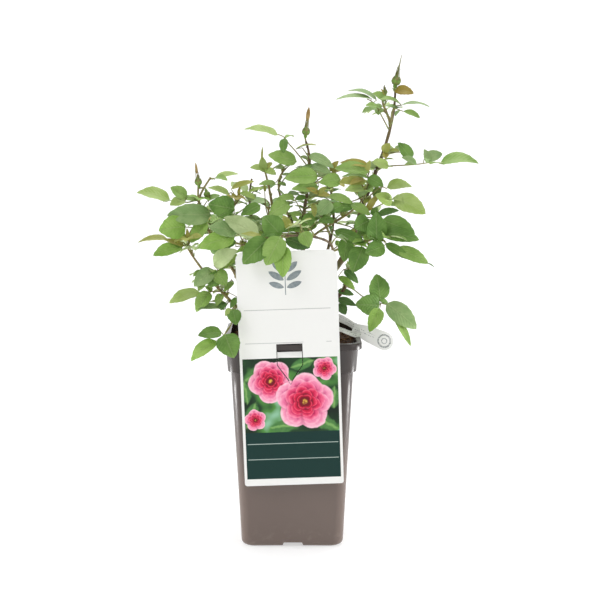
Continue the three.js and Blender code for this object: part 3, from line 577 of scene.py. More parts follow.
# The darkest tint is a darker copy of the leaf green, given to shown leaves that lie in shade: painted shade.
TINTS = {"mid": ("#7A9D48", "#92B060"), "fresh": ("#90AA53", "#A9BE74"), "dark": ("#52782E", "#6F9445"),
         "grey": ("#749457", "#93AC72"), "bright": ("#7AA240", "#96B75D"), "bronze": ("#908434", "#AAA757"),
         "olive": ("#909741", "#ACB160"), "deep": ("#436430", "#608545"), "rust": ("#84701E", "#9C8B38")}
TINT_NAMES = list(TINTS)
UNDERSIDE = len(TINT_NAMES)
SHOWN_ROWS = 12
RULED_ROWS = 8
BLADE_WIDEST = 0.42
BLADE_TEETH = 0.016
TEETH_AHEAD = 0.018
BLADE_THICK = 0.5
BLADE_SKIN = 0.22
BLADE_BEND, BEND_PLAY = 0.05, 0.09
BLADE_FOLD, FOLD_PLAY = 0.12, 0.3
TWIST_PLAY = 0.7
RUFFLE_PLAY = 0.03
RUFFLES = 13
STALK_SIDES = 5
SHOWN_STALK = 0.87, 0.57
RULED_STALK = 0.82, 0.57
SIDE_STALK = 0.55, 0.45
STIPULE, STIPULE_PLAY = 6, 3
RULED_STIPULE = 7
STIPULE_WIDTH = 0.24
STIPULE_SPREAD = 0.3

# For each mass, its leaves: the shoot, the share of its length, the stalk's places, and the leaflets
# with base, tip, width, turn towards the front in degrees, and tint. A place is across, up, depth.
SHOWN_LEAVES = {
    "tall": [
        (0, 0.73, [(104, 500, 2), (98, 511, -3), (92, 518, -6), (86, 521, -8)],
         [(91.5, 521.5, -8, 50, 520, -14, 17, 16, "grey"), (97.5, 519.5, -5, 63.5, 530, 6, 16, 18, "grey"),
          (103, 509.5, -4, 84.5, 513, -22, 12, 26, "mid")]),
        (0, 0.78, [(118, 511, 2), (127, 514, 0)],
         [(126, 514, 0, 159, 511.5, -2, 16, 12, "grey"), (125, 515, 1, 101, 520, -14, 15, 16, "mid"),
          (120, 511, 2, 106, 512, 16, 10, 20, "mid")]),
        (0, 0.75, [(116, 509, -4), (128, 507, -8)],
         [(128, 507, -8, 147.5, 499, -12, 13, 32, "mid"), (124, 508, -7, 119, 501, -22, 6, 40, "grey"),
          (118, 509, -5, 127, 511, 8, 9, 10, "dark")]),
        (1, 0.6, [(108, 520, 3)], [(108, 520, 3, 92.5, 527.5, -4, 12, 50, "mid")]),
        (1, 0.98, [(107, 525, 3)], [(107, 525, 3, 102, 532.5, 2, 4, 50, "bronze")]),
        (0, 0.985, [(118, 531, 3)], [(118, 531.5, 3, 140, 527, -3, 15, 50, "rust")]),
        (0, 0.55, [(106, 459, -2), (112, 461, -3)],
         [(112, 461.5, -3, 124.5, 461, -6, 6, 40, "olive"), (106, 459, -2, 113, 470.5, -4, 11, 65, "olive"),
          (107, 460, -2, 108, 452.5, -6, 8, 70, "bronze")]),
        (0, 0.57, [(127, 460, 2), (137, 453, 2)], [(138, 451.5, 2, 122, 471, -4, 15.5, 68, "dark")]),
        (0, 0.47, [(112, 444, 4), (130, 445, 2), (144, 446, 0), (160, 448, 0), (178, 448, 0)],
         [(171, 446.5, 0, 216.5, 446.5, -4, 23, 30, "mid"), (153, 452.5, 0, 174, 458.5, 8, 14, 66, "grey"),
          (159, 448, 0, 152.5, 463.5, -6, 10, 72, "grey"), (172, 447, 0, 160, 446, -24, 14, 2, "mid"),
          (144.5, 446, -4, 126.5, 454, -12, 10, 50, "grey"), (142, 446, 0, 129, 444, 16, 11, 20, "mid")]),
        (0, 0.45, [(106, 443, 2)],
         [(112, 444, 0, 92.5, 448.5, -10, 13, 62, "fresh"), (104, 450, 4, 118.5, 451.8, 2, 3, 40, "fresh"),
          (106, 443.5, 0, 117, 443, -4, 3, 40, "fresh")]),
        (0, 0.3, [(90, 430, -4)], [(88, 431, -6, 106, 420.5, -14, 14, 72, "dark")]),
        (0, 0.24, [(102, 419, 2), (110, 418, 4)],
         [(110, 419, 4, 139.5, 419.5, 8, 19, 34, "fresh"), (104, 418, 3, 96, 404, 22, 15, 40, "mid")]),
        (0, 0.13, [(97, 396, 0), (105, 400, -8), (112, 404, -14), (118, 406, -18)],
         [(118, 406, -18, 155.5, 388.5, -26, 25, 60, "fresh"), (116.5, 401.5, -10, 96.5, 411, -26, 15.5, 68, "fresh"),
          (107, 400.5, -8, 126.5, 397, -2, 9, 35, "mid"), (115, 404, -15, 128, 404, -32, 14, 20, "fresh")]),
        (0, 0.1, [(88, 392, -6)],
         [(87, 392, -6, 99.5, 410.5, -10, 8.5, 70, "bronze"), (84, 400, 0, 92, 409, 12, 7, 50, "olive")]),
        (0, 0.29, [(88, 432, -4)],
         [(90, 438, -6, 49, 441, -16, 18, 52, "mid"), (89, 444, -4, 55, 447.5, -8, 11, 48, "bronze"),
          (86, 435, -6, 90.5, 451, -6, 6.5, 75, "olive"), (90, 429.5, -6, 57, 431, -4, 9, 30, "mid")]),
        (0, 0.22, [(88, 424, -8)],
         [(86, 426.5, -8, 54, 425, -20, 12, 60, "olive"), (83, 418, -8, 61, 415.5, -22, 12, 58, "fresh"),
          (84, 428, -8, 66, 422, -26, 9, 40, "bronze")]),
        (0, 0.03, [(80, 383, -2), (99, 384, -8), (104, 381, -12)],
         [(104, 381, -12, 143.5, 364.5, -20, 23, 66, "dark"), (99, 386, -8, 124.5, 392.3, -4, 11, 45, "deep"),
          (97, 385, -9, 99, 397, -18, 12, 62, "dark")]),
    ],
    "centre": [
        (0, 0.75, [(4, 461, -4), (-4, 470, -4), (-9, 477, -4), (-16, 480.5, -4)],
         [(-16, 479.5, -4, -56, 486, -6, 20, 22, "fresh"), (-9, 476, -4, -10, 458.5, -14, 10.5, 78, "dark"),
          (-8, 476, -4, 2, 477.5, 10, 7, 12, "mid")]),
        (0, 0.84, [(12, 465, -5)], [(4, 463.5, -5, 28.5, 468, -12, 9, 7, "olive")]),
        (0, 0.7, [(18, 452, -6)],
         [(19, 457, -6, 48.5, 441.5, -16, 13, 60, "grey"), (21, 445, -7, 45.5, 435.5, -18, 11, 58, "grey")]),
        (0, 0.6, [(22, 434, -10), (28, 432, -16)],
         [(30, 433, -16, -9, 429.5, -30, 20, 72, "mid"), (31, 420, -14, -1, 417, -30, 12.5, 66, "mid"),
          (56.5, 428.5, -12, 31.5, 424.5, -22, 17, 74, "mid")]),
        (0, 0.55, [(30, 428, -4), (40, 432, -4)],
         [(44, 438, -4, 54, 450, -6, 8, 65, "bronze"), (46, 437, -4, 60.5, 440, -8, 7, 50, "bronze"),
          (44, 436, -4, 52, 428.5, -14, 8, 55, "olive")]),
        (0, 0.5, [(28, 410, -16), (38, 410, -22)],
         [(30, 412, -16, 16, 418.5, -26, 7, 60, "bronze"), (30, 412, -16, 44, 409, -26, 8, 50, "bronze"),
          (30, 411, -16, 41, 420, -18, 6.5, 60, "olive")]),
        (0, 0.42, [(24, 400, -14), (44, 402, -24)],
         [(45, 403, -24, 30, 387.5, -32, 18, 78, "grey"), (24, 401, -14, 26, 384.5, -20, 7, 78, "olive"),
          (59, 399, -18, 43, 390, -30, 13, 70, "dark")]),
        (0, 0.38, [(4, 404, -14)],
         [(3, 408, -12, -18.5, 405.5, -18, 9, 60, "mid"), (-4, 402, -16, -27, 386.5, -28, 19, 76, "mid"),
          (4, 405, -12, 17.5, 408.5, -4, 8, 55, "dark")]),
        (0, 0.3, [(20, 386, -12)],
         [(22, 388.5, -12, 15, 369, -22, 15, 80, "dark"), (12, 388, -10, -4, 388, -22, 7, 55, "mid"),
          (20, 388, -10, 12, 371, -16, 5, 80, "olive"), (6, 374, -14, -14, 367, -26, 11, 62, "dark")]),
        (0, 0.2, [(28, 378, -10), (49, 381, -14)], [(49, 381, -14, 29.5, 379, -26, 10, 58, "dark")]),
        (1, 0.98, [(-4, 444, -4)], [(5.5, 449, -4, -28, 457, -12, 18.5, 66, "mid")]),
        (1, 0.8, [(-12, 432, -4), (-18, 426, -6)],
         [(-19, 424.5, -6, -39, 422.5, -12, 7.5, 55, "mid"), (-7, 422, -4, -17, 424.5, -16, 5, 60, "mid")]),
        (2, 0.97, [(80, 414, 6)],
         [(80, 412, 6, 90, 422, 14, 7, 50, "olive"), (79, 411, 6, 72, 420, 16, 7, 55, "bronze")]),
        (2, 0.8, [(60, 400, -2)],
         [(42, 409.5, -14, 71, 400, -10, 11, 58, "mid"), (68, 399.5, -8, 91, 387, -14, 13, 60, "mid"),
          (71, 397, -8, 41, 392, -22, 12, 62, "dark")]),
        (2, 0.3, [(50, 369, -6)],
         [(49, 369, -8, 87, 352.5, -18, 14, 62, "dark"), (64, 361, -10, 61, 332, -26, 18, 80, "dark"),
          (46, 370, -4, 42, 373.5, -12, 7, 60, "deep")]),
        (2, 0.45, [(66, 374, 4), (72, 371, 4)], [(73, 371, 4, 66, 360, -2, 7, 60, "olive")]),
    ],
    "middle_left": [
        (0, 0.985, [(-31, 440, 8)],
         [(-33.5, 437, 8, -35, 455.5, 4, 10, 78, "fresh"), (-35, 450, 4, -34.2, 466.5, 4, 2.6, 80, "olive"),
          (-31.5, 441, 8, -49, 442, 0, 9, 52, "fresh"), (-31, 440, 8, -18.5, 434, 0, 9.5, 62, "fresh"),
          (-31, 441, 8, -23, 448, 12, 7, 60, "olive")]),
        (1, 0.98, [(-63, 404, -18)],
         [(-64, 404, -18, -70, 413, -20, 5, 60, "bronze"), (-71, 417.5, -18, -44, 426, -24, 9, 44, "olive"),
          (-61, 413, -18, -42.5, 405.5, -26, 8, 50, "fresh"), (-63, 404, -18, -61, 413, -14, 5, 70, "bronze"),
          (-51, 414, -18, -33, 418.5, -22, 6, 40, "fresh"), (-62, 410, -18, -60, 421, -22, 4, 70, "bronze")]),
        (1, 0.8, [(-50, 398, -22), (-37, 399, -26)], [(-37, 398.5, -26, -60, 386.5, -34, 14, 66, "dark")]),
        (1, 0.62, [(-68, 388, -28)], [(-67, 394, -28, -98, 400, -40, 27, 82, "dark")]),
        (1, 0.9, [(-70, 412, -18), (-74, 412, -20)], [(-73, 411, -20, -98.5, 418.5, -20, 10, 40, "fresh")]),
        (1, 0.5, [(-58, 380, -32)], [(-39, 364, -36, -80, 384.5, -46, 22, 70, "pale")]),
        (1, 0.36, [(-58, 364, -34), (-62, 365, -38)],
         [(-67, 362, -38, -110.5, 348.5, -48, 22, 72, "bright"), (-63, 368, -36, -98, 373, -44, 19, 70, "grey")]),
        (1, 0.3, [(-56, 352, -24), (-66, 350, -30)], [(-66, 357, -30, -88, 348, -36, 12, 70, "dark")]),
        (0, 0.35, [(-30, 392, 0), (-32, 414, 0)], [(-32, 414, 0, -33, 424, 4, 4, 60, "olive")]),
    ],
    "left": [
        (0, 0.9, [(-122, 402, -18), (-134, 404, -20), (-142, 404, -20)],
         [(-142, 404, -20, -181, 413, -22, 22, 34, "fresh"), (-123, 407, -20, -141.5, 419.5, -22, 15, 62, "mid"),
          (-110, 403.5, -18, -132, 406, -12, 9, 40, "mid"), (-125, 405, -20, -142.5, 398.5, -30, 13, 58, "fresh"),
          (-141, 404, -20, -150, 402.5, -30, 7, 14, "pale")]),
        (0, 0.72, [(-106, 386, -20)], [(-94.5, 387.5, -22, -146, 387, -34, 25, 80, "grey")]),
        (0, 0.62, [(-112, 372, -26), (-124, 373, -30)],
         [(-124, 374, -30, -156, 369, -38, 28, 78, "bright"), (-100, 380, -22, -118.5, 354.5, -34, 17, 76, "bright")]),
        (1, 0.96, [(-94, 430, -14), (-89, 430, -14)],
         [(-89, 430.5, -14, -62, 434.5, -14, 13, 26, "fresh"), (-89, 431, -14, -75, 427, -26, 9, 40, "mid")]),
        (0, 0.8, [(-100, 402, -16)], [(-98, 404, -16, -84, 410, -8, 9, 40, "mid")]),
        (0, 0.45, [(-96, 352, -14), (-78, 350, -20)],
         [(-90, 328, -22, -63, 340, -34, 19, 66, "fresh"), (-94, 342, -16, -84, 356, -20, 11, 70, "dark")]),
    ],
    "low_left": [
        (0, 0.97, [(-126, 354, -30), (-131, 356, -30)],
         [(-146, 359.5, -30, -181, 354.5, -34, 15, 20, "olive"), (-126, 351, -30, -151, 358.5, -34, 8, 44, "bronze"),
          (-128, 350, -30, -163, 339.5, -40, 18, 52, "bright")]),
        (0, 0.99, [(-121, 356, -30)],
         [(-121, 355, -30, -123, 372, -32, 5, 80, "bronze"), (-121, 357, -30, -112, 368.5, -30, 6, 60, "bronze"),
          (-121, 356, -30, -128, 366, -30, 4.5, 60, "olive"), (-120, 354, -30, -117, 372, -26, 4, 70, "bronze")]),
        (0, 0.5, [(-97, 318, -34)],
         [(-92, 323, -34, -115.5, 303, -46, 19, 74, "grey"), (-84, 320, -36, -98, 302, -44, 17, 80, "dark"),
          (-90, 322, -36, -77, 304.5, -44, 18, 78, "mid"), (-103, 310, -38, -110.5, 297.5, -48, 9, 74, "mid")]),
        (0, 0.34, [(-88, 316, -34), (-80, 322, -40)], [(-92, 328, -40, -64, 346, -48, 21, 62, "pale")]),
        (0, 0.28, [(-84, 297, -28), (-97, 297, -32), (-108, 296, -34)],
         [(-108, 296, -34, -145, 283, -40, 20, 38, "fresh"), (-97, 297, -33, -113, 272.5, -44, 17, 72, "mid"),
          (-96, 296, -32, -102, 303, -16, 9, 30, "mid"), (-83, 294.5, -30, -89, 279.5, -42, 10, 74, "mid")]),
        (0, 0.14, [(-78, 280, -34)],
         [(-79, 276, -36, -112, 275, -50, 13, 24, "grey"), (-79, 283, -32, -98, 285, -26, 6, 26, "olive"),
          (-80, 285, -34, -84, 274.5, -44, 9, 78, "deep")]),
        (0, 0.2, [(-72, 310, -26), (-70, 309, -28)],
         [(-69, 309, -30, -80.5, 296.5, -40, 8, 60, "mid"), (-64, 290, -28, -73, 277, -36, 8, 70, "dark")]),
        (0, 0.05, [(-68, 276, -50), (-70, 277, -66), (-71, 276, -80)],
         [(-70, 276, -86, -66, 257, -97, 16, 82, "dark"), (-71, 276, -84, -79, 268, -92, 9, 70, "fresh")]),
        (0, 0.03, [(-70, 262, -50), (-78, 250, -74), (-80, 244.5, -88)],
         [(-80, 246, -92, -69, 217.5, -104, 27, 82, "dark")]),
        (0, 0.04, [(-72, 258, -58), (-80, 246, -78), (-84, 241, -84), (-90, 238, -84)],
         [(-90, 238.5, -84, -120, 213.5, -92, 18, 52, "bright"), (-83, 248, -80, -111.5, 244.5, -88, 16, 52, "dark")]),
    ],
    "front": [
        (0, 0.985, [(-12, 363, -92)],
         [(-13, 362, -94, -31, 328, -102, 25, 84, "mid"), (-10, 352, -96, -11, 313.5, -104, 20, 84, "bright")]),
        (0, 0.95, [(-14, 361, -90), (-28, 360, -92)],
         [(-28, 359, -92, -58, 329.5, -102, 27, 78, "dark"), (-35, 360.5, -90, -60, 365, -82, 9, 30, "olive")]),
        (0, 0.88, [(-12, 366, -84)],
         [(-13, 363, -86, -34, 386, -82, 25, 80, "dark"), (-12, 367, -84, -37, 362, -92, 12, 50, "dark"),
          (-4, 371, -80, -10.5, 387, -78, 10, 76, "olive")]),
        (0, 0.72, [(14, 368, -82)], [(12, 367.5, -84, 20.5, 350, -90, 17, 84, "mid")]),
        (0, 0.8, [(0, 362, -74)], [(-8, 360, -72, 21, 349, -74, 16, 80, "deep")]),
    ],
    "right": [
        (0, 0.97, [(108, 356, -20), (110, 354, -22)],
         [(121, 347.5, -25, 159.5, 330, -30, 17, 62, "mid"), (109, 354, -22, 137, 335, -32, 12, 66, "dark"),
          (108, 351.5, -22, 85, 342.5, -34, 20, 82, "dark"), (158, 331, -30, 167, 325.5, -32, 1.6, 60, "grey")]),
        (0, 0.93, [(104, 366, -22)],
         [(105, 366, -22, 148.5, 357.8, -30, 19, 62, "dark"), (98, 356, -24, 97, 391, -30, 24, 82, "dark"),
          (90, 381, -20, 72.5, 371, -28, 22, 78, "dark"), (88, 364, -20, 78, 384, -14, 14, 70, "dark")]),
        (0, 0.5, [(78, 346, -20)], [(83, 350, -22, 70.5, 319.5, -34, 24, 82, "dark")]),
        (0, 0.3, [(60, 323, -14)],
         [(61, 322.5, -14, 77.5, 306.5, -22, 10.5, 62, "deep"), (54, 315, -16, 73.5, 299.5, -26, 9.5, 60, "bright")]),
        (0, 0.05, [(62, 304, -14), (72, 299.5, -10), (84, 290.5, -10), (98, 285, -11), (111, 281.5, -12)],
         [(110.5, 283, -12, 146.5, 252.5, -18, 25, 66, "grey"), (119, 268, -14, 140, 231.5, -22, 10.5, 56, "mid"),
          (103, 286, -11, 98.5, 318, -8, 25, 80, "dark"), (103, 277, -24, 91, 248.5, -46, 17, 80, "bright"),
          (103, 281, -12, 74, 281.5, -24, 25, 80, "dark"), (101, 287, -11, 113, 281.5, -4, 9, 40, "dark")]),
        (0, 0.03, [(56, 297, -8)],
         [(53, 298, -8, 72.5, 293, -10, 9, 58, "deep"), (53, 288, -8, 75, 280, -12, 10, 60, "deep"),
          (55, 283, -8, 63, 269.5, -12, 12, 74, "deep")]),
    ],
    "back_left": [], "back_right": [],
}


def moved_to(point, depth):
    """The place at another depth that the camera sees at the same spot."""
    return EYE + (point - EYE) * ((depth - EYE.y) / (point.y - EYE.y))


def seen(across, up, depth):
    return moved_to(Vector((across, PLANE, up)), depth)


def dice(seed):
    """A number from 0 to 1 at each roll, the same ones for the same seed."""
    state = (seed * 7919) % 2147483647
    while True:
        state = (state * 48271) % 2147483647
        yield state / 2147483647


def blade_half(share):
    """Half the blade's width at a share of its length, against half its greatest width."""
    if share < BLADE_WIDEST:
        return math.sqrt(max(1 - ((BLADE_WIDEST - share) / BLADE_WIDEST) ** 2, 0)) ** 0.9
    return (1 - ((share - BLADE_WIDEST) / (1 - BLADE_WIDEST)) ** 2.05) ** 0.95


def blade(base, tip, width, normal, bend=0.07, twist=0.2, fold=0.2, ruffle=0.0, rows=SHOWN_ROWS):
    """A leaflet's shape, which of its faces lie below, and its layout: toothed, folded and bowed."""
    axis = tip - base
    length = axis.length
    forward = axis / length
    side = normal.cross(forward)
    side = side.normalized() if side.length > 1e-4 else forward.orthogonal().normalized()
    up = forward.cross(side)
    points, layout = [base, tip], [(0.5, 0), (0.5, 1)]
    for row in range(1, rows):
        share = row / rows
        half = blade_half(share) * width / 2
        edge = half * (1 + BLADE_TEETH * (1 if row % 2 else -1))
        ahead = forward * (length * TEETH_AHEAD * (row % 2))
        middle = base + axis * share + up * (bend * length * 4 * share * (1 - share))
        angle = twist * (share - 0.5)
        out = side * math.cos(angle) + up * math.sin(angle)
        rise = up * math.cos(angle) - side * math.sin(angle)
        wave = ruffle * width * math.sin(share * RUFFLES)
        brim, flank = fold * half * 0.8, rise * (fold * half * 0.55 + BLADE_SKIN)
        points += [middle - out * edge + rise * (brim + wave) + ahead, middle - out * half * 0.5 + flank, middle,
                   middle + out * half * 0.5 + flank, middle + out * edge + rise * (brim - wave) + ahead,
                   middle - rise * BLADE_THICK]
        layout += [(0.5 + half / width * part, share) for part in (-1, -0.5, 0, 0.5, 1, 0)]
    starts = [2 + 6 * k for k in range(rows - 1)]
    faces, below = [], []
    for left, right, under in ((0, 1, 0), (1, 2, 0), (2, 3, 0), (3, 4, 0), (5, 0, 1), (4, 5, 1)):
        faces.append((0, starts[0] + right, starts[0] + left))
        for low, high in zip(starts, starts[1:]):
            quad = low + left, low + right, high + right, high + left
            faces.append(quad[under:] + quad[:under])
        faces.append((starts[-1] + left, starts[-1] + right, 1))
        below += [under] * rows
    return (points, faces), below, layout


class Growth:
    """What one mass bears: its leaflets' blades, the stalks that carry them, and its buds."""

    def __init__(self):
        self.blades, self.stalks, self.buds = Heap(), Heap(), Heap()

    def leaflet(self, base, tip, width, normal, tint, luck, rows=SHOWN_ROWS):
        bend, twist = BLADE_BEND + BEND_PLAY * next(luck), (next(luck) - 0.5) * TWIST_PLAY
        fold, ruffle = BLADE_FOLD + FOLD_PLAY * next(luck), RUFFLE_PLAY * next(luck)
        shape, below, layout = blade(base, tip, width, normal, bend, twist, fold, ruffle, rows)
        top, under = UNDERSIDE, TINT_NAMES.index("mid")
        if tint in TINT_NAMES:
            top, under = TINT_NAMES.index(tint), UNDERSIDE
        self.blades.add(shape, [under if low else top for low in below], layout)

    def stalk(self, places, thick, thin):
        radii = [between(thick, thin, k / (len(places) - 1)) for k in range(len(places))]
        self.stalks.add(tube(places, radii, STALK_SIDES))

    def stipules(self, path, size, luck):
        """Two narrow ears along the foot of a leaf's stalk."""
        foot, ahead = path[0], (path[1] - path[0]).normalized()
        side = ahead.cross(UP if abs(ahead.z) < 0.95 else FRONT).normalized()
        for hand in (-1, 1):
            tip = foot + ahead * size + side * (hand * size * STIPULE_SPREAD)
            self.leaflet(foot - ahead * 0.5, tip, size * STIPULE_WIDTH, side.cross(ahead), "olive", luck, RULED_ROWS)


def smoothed(places, steps=4):
    """More places on a smooth path through the given ones."""
    ends = [places[0] * 2 - places[1], *places, places[-1] * 2 - places[-2]]
    path = []
    for a, b, c, d in zip(ends, ends[1:], ends[2:], ends[3:]):
        for t in (step / steps for step in range(steps)):
            path.append((b * 2 + (c - a) * t + (a * 2 - b * 5 + c * 4 - d) * t * t
                         + (b * 3 - a - c * 3 + d) * t ** 3) / 2)
    return path + [places[-1]]


def normal_at(forward, turn):
    """The side a blade shows, square to its length: turn is 0 for the sky and 90 for the front."""
    toward = (FRONT - forward * forward.dot(FRONT)).normalized()
    above = forward.cross(toward)
    above = above if above.z >= 0 else -above
    angle = math.radians(turn)
    return toward * math.sin(angle) + above * math.cos(angle)


grown = {name: Growth() for name in CROWN}
middles, shown_parts = [], []
for name, leaves in SHOWN_LEAVES.items():
    luck = dice(CROWN[name]["seed"] + 1)
    growth = grown[name]
    for shoot, share, stalk, leaflets in leaves:
        path = smoothed([shoots[name][shoot].at(share)] + [seen(*place) for place in stalk])
        growth.stalk(path, *SHOWN_STALK)
        growth.stipules(path, STIPULE + STIPULE_PLAY * next(luck), luck)
        for *ends, width, turn, tint in leaflets:
            base, tip = seen(*ends[:3]), seen(*ends[3:])
            nearest = min(path, key=lambda place: (place - base).length)
            if (nearest - base).length > 1:
                growth.stalk([nearest, nearest.lerp(base, 0.5) + UP * 0.4, base], *SIDE_STALK)
            growth.leaflet(base, tip, width, normal_at((tip - base).normalized(), turn), tint, luck)
            middles.append(base.lerp(tip, 0.5))
            shown_parts += [(moved_to(base.lerp(tip, part), PLANE), width) for part in (0.2, 0.5, 0.8)]


# Leaves by rule. The rest of the crown grows on the same rolls as the solid's own: a turn from each
# leaf to the next, the first bearing that fits, and behind what shows in front, so the sky stays.
TURN = math.radians(137.5)
TURN_PLAY = math.radians(30)
BEARINGS = [math.radians(angle) for angle in (0, 35, -35, 70, -70, 105, -105, 140, -140, 175)]
SHORTENED = 1, 0.78, 0.6
SHOOT_SPAN = 0.1, 0.97
REACH_BY_PAIRS = {1: 1.95, 2: 2.5}
SHRINK = 0.35
LEAST_SIZE, SIZE_PLAY = 0.88, 0.24
RISE, RISE_PLAY = 0.35, 0.5
LEAN_OUT = 0.25
FEWER_FROM = 0.75
YOUNG_FROM = 0.9
TINTS_GROWN = "mid", "fresh", "grey", "mid", "dark", "bright", "mid"
TINTS_YOUNG = "olive", "fresh", "bronze"
ROUNDS = [(7, 0.72, 2), (9, 0.7, 1), (11, 0.62, 1), (12, 0.56, 1)]
PAIR_ANGLE = math.radians(66)
PAIR_SIZES = 0.9, 0.74
PAIR_FROM, PAIR_GAP, PAIR_LOWEST = 0.36, 0.7, 0.3
PAIR_DROOP = 0.16
WIDTH_SHARE = 0.74
EDGE_SHARE = 0.35
DROOP = 0.4
STALK_BOW = 0.55
STALK_STEPS = 8
EDGE_MARGIN = 1
LEAFLET_ROOM = 10
CANE_ROOM = 6
POT_ROOM = 3
SPACE_MARGIN = 2
SHOWN_ROOM = 5.5
SHOWN_SHARE = 0.46
CARD_ZONE = (-64, 64), (-89, -76), (0, 358)
LOOP_ZONE = (-17, 80), (-32, 32), (0, 268)
TAIL_ZONE = (72, 126), (-45, -5), (228, 272)
TAIL_FROM = 76, -25
TAIL_SLOPE = math.tan(math.radians(16))
TAIL_ROOM = 5
SPACE_STEPS = 14
CANE_PARTS = 16
REACH_LOW = [value / MM + EDGE_MARGIN for value in packed_box[0]]
REACH_HIGH = [value / MM - EDGE_MARGIN for value in packed_box[1]]
SKY = [(2, 36, 456, 520), (90, 128, 466, 502), (90, 135, 520, 575), (103, 150, 423, 443), (74, 150, 316, 333),
       (-108, -89, 324, 343), (-60, -44, 388, 396), (120, 220, 360, 386), (-70, -46, 426, 441), (-48, -32, 422, 440),
       (-6, 10, 417, 433), (31, 45, 359, 377), (49, 70, 402, 414), (-33, -23, 387, 402), (-53, -35, 384, 391),
       (54, 67, 363, 373), (0, 13, 442, 452), (106, 123, 381, 391), (23, 39, 453, 460), (-70, -57, 349, 358)]
SPACES = {name: [curve.at(k / SPACE_STEPS) for curve in curves for k in range(SPACE_STEPS + 1)]
          for name, curves in shoots.items()}
CANE_PLACES = [curve.at(k / CANE_PARTS) for curve in canes.values() for k in range(CANE_PARTS + 1)]


def nearest_of(point, places):
    return min((place - point).length for place in places)


def in_space(point, own):
    home = nearest_of(point, SPACES[own])
    return all(name == own or nearest_of(point, places) > home + SPACE_MARGIN for name, places in SPACES.items())


def in_zone(point, zone):
    return all(low < value < high for value, (low, high) in zip(point, zone))


def clear_of_things(point):
    x, y, z = point
    in_pot = z <= POT_HEIGHT + POT_ROOM and max(abs(x), abs(y)) <= LIP + POT_ROOM
    beside_tail = abs(y - TAIL_FROM[1] + (x - TAIL_FROM[0]) * TAIL_SLOPE)
    on_tail = in_zone(point, TAIL_ZONE) and beside_tail < TAIL_ROOM
    return (in_zone(point, zip(REACH_LOW, REACH_HIGH)) and not in_pot and not in_zone(point, CARD_ZONE)
            and not in_zone(point, LOOP_ZONE) and not on_tail and nearest_of(point, CANE_PLACES) > CANE_ROOM)


def behind_front(point):
    """Whether the front view shows a leaf here already, so that the sky shows where it should."""
    flat = moved_to(point, PLANE)
    if any(left < flat.x < right and low < flat.z < high for left, right, low, high in SKY):
        return False
    return any((flat - place).length < SHOWN_ROOM + width * SHOWN_SHARE for place, width in shown_parts)


def leaf_plan(base, tip, size, pairs, normal):
    """A leaf's arching stalk and its leaflets, as (base, tip, length) with the end one first."""
    end = ((tip - base).normalized() - UP * DROOP).normalized()
    stalk_end = tip - end * size
    long = (stalk_end - base).length
    bow = stalk_end - end * long * STALK_BOW

    def on(share):
        return base * (1 - share) ** 2 + bow * (2 * share * (1 - share)) + stalk_end * share * share

    leaflets = [(stalk_end, tip, size)]
    for order in range(pairs):
        share = max(1 - (PAIR_FROM + PAIR_GAP * order) * size / long, PAIR_LOWEST)
        forward = (on(share + 0.01) - on(share - 0.01)).normalized()
        side = normal.cross(forward).normalized()
        length = size * PAIR_SIZES[order]
        for hand in (-1, 1):
            out = forward * math.cos(PAIR_ANGLE) + side * hand * math.sin(PAIR_ANGLE) - UP * PAIR_DROOP
            leaflets.append((on(share), on(share) + out.normalized() * length, length))
    return [on(k / STALK_STEPS) for k in range(STALK_STEPS + 1)], leaflets


def leaflet_points(base, tip, length, normal):
    side = normal.cross(tip - base).normalized()
    widest = base.lerp(tip, BLADE_WIDEST)
    edges = [widest + side * hand * length * EDGE_SHARE for hand in (-1, 1)]
    return [base.lerp(tip, 0.5), tip, *edges, *(edge.lerp(tip, 0.5) for edge in edges)]


def fits(leaflets, normal, own):
    if any(nearest_of(base.lerp(tip, 0.5), middles) <= LEAFLET_ROOM for base, tip, length in leaflets):
        return False
    return all(behind_front(point) and clear_of_things(point) and in_space(point, own)
               for base, tip, length in leaflets for point in leaflet_points(base, tip, length, normal))


def first_fit(own, base, bearing, rise, tilt, size, pairs):
    """The path, leaflets and normal of a leaf on the first reach and bearing that fit, or None."""
    for short in SHORTENED:
        reach = size * REACH_BY_PAIRS[pairs] * short
        for other in BEARINGS:
            flat = Vector((math.cos(bearing + other), math.sin(bearing + other), 0))
            tip = base + flat * (reach * math.sqrt(1 - rise * rise)) + UP * (reach * rise)
            normal = (Vector((*tilt, 1)) + flat * LEAN_OUT).normalized()
            path, leaflets = leaf_plan(base, tip, size, pairs, normal)
            if fits(leaflets, normal, own):
                return path, leaflets, normal
    return None


def grow_by_rule(own, curve, count, leaflet_size, luck, low_pairs=2):
    """Leaves up one shoot: smaller, and with fewer leaflets, towards its tip."""
    growth = grown[own]
    first = next(luck) * 2 * math.pi
    for i in range(count):
        share = between(*SHOOT_SPAN, (i + next(luck) * 0.6) / max(count - 0.4, 1))
        size = leaflet_size * (1 - SHRINK * share * share) * (LEAST_SIZE + next(luck) * SIZE_PLAY)
        bearing = first + i * TURN + (next(luck) - 0.5) * TURN_PLAY
        rise = RISE + (next(luck) - 0.5) * RISE_PLAY
        tilt = next(luck) - 0.5, next(luck) - 0.5
        pairs = low_pairs if share < FEWER_FROM else 1
        leaf = first_fit(own, curve.at(share), bearing, rise, tilt, size, pairs)
        if not leaf:
            continue
        path, leaflets, normal = leaf
        tint = TINTS_GROWN[int(next(luck) * len(TINTS_GROWN))]
        if share >= YOUNG_FROM:
            tint = TINTS_YOUNG[int(next(luck) * len(TINTS_YOUNG))]
        growth.stalk(path, *RULED_STALK)
        growth.stipules(path, RULED_STIPULE, luck)
        for base, tip, length in leaflets:
            growth.leaflet(base, tip, length * WIDTH_SHARE, normal, tint, luck, RULED_ROWS)
            middles.append(base.lerp(tip, 0.5))


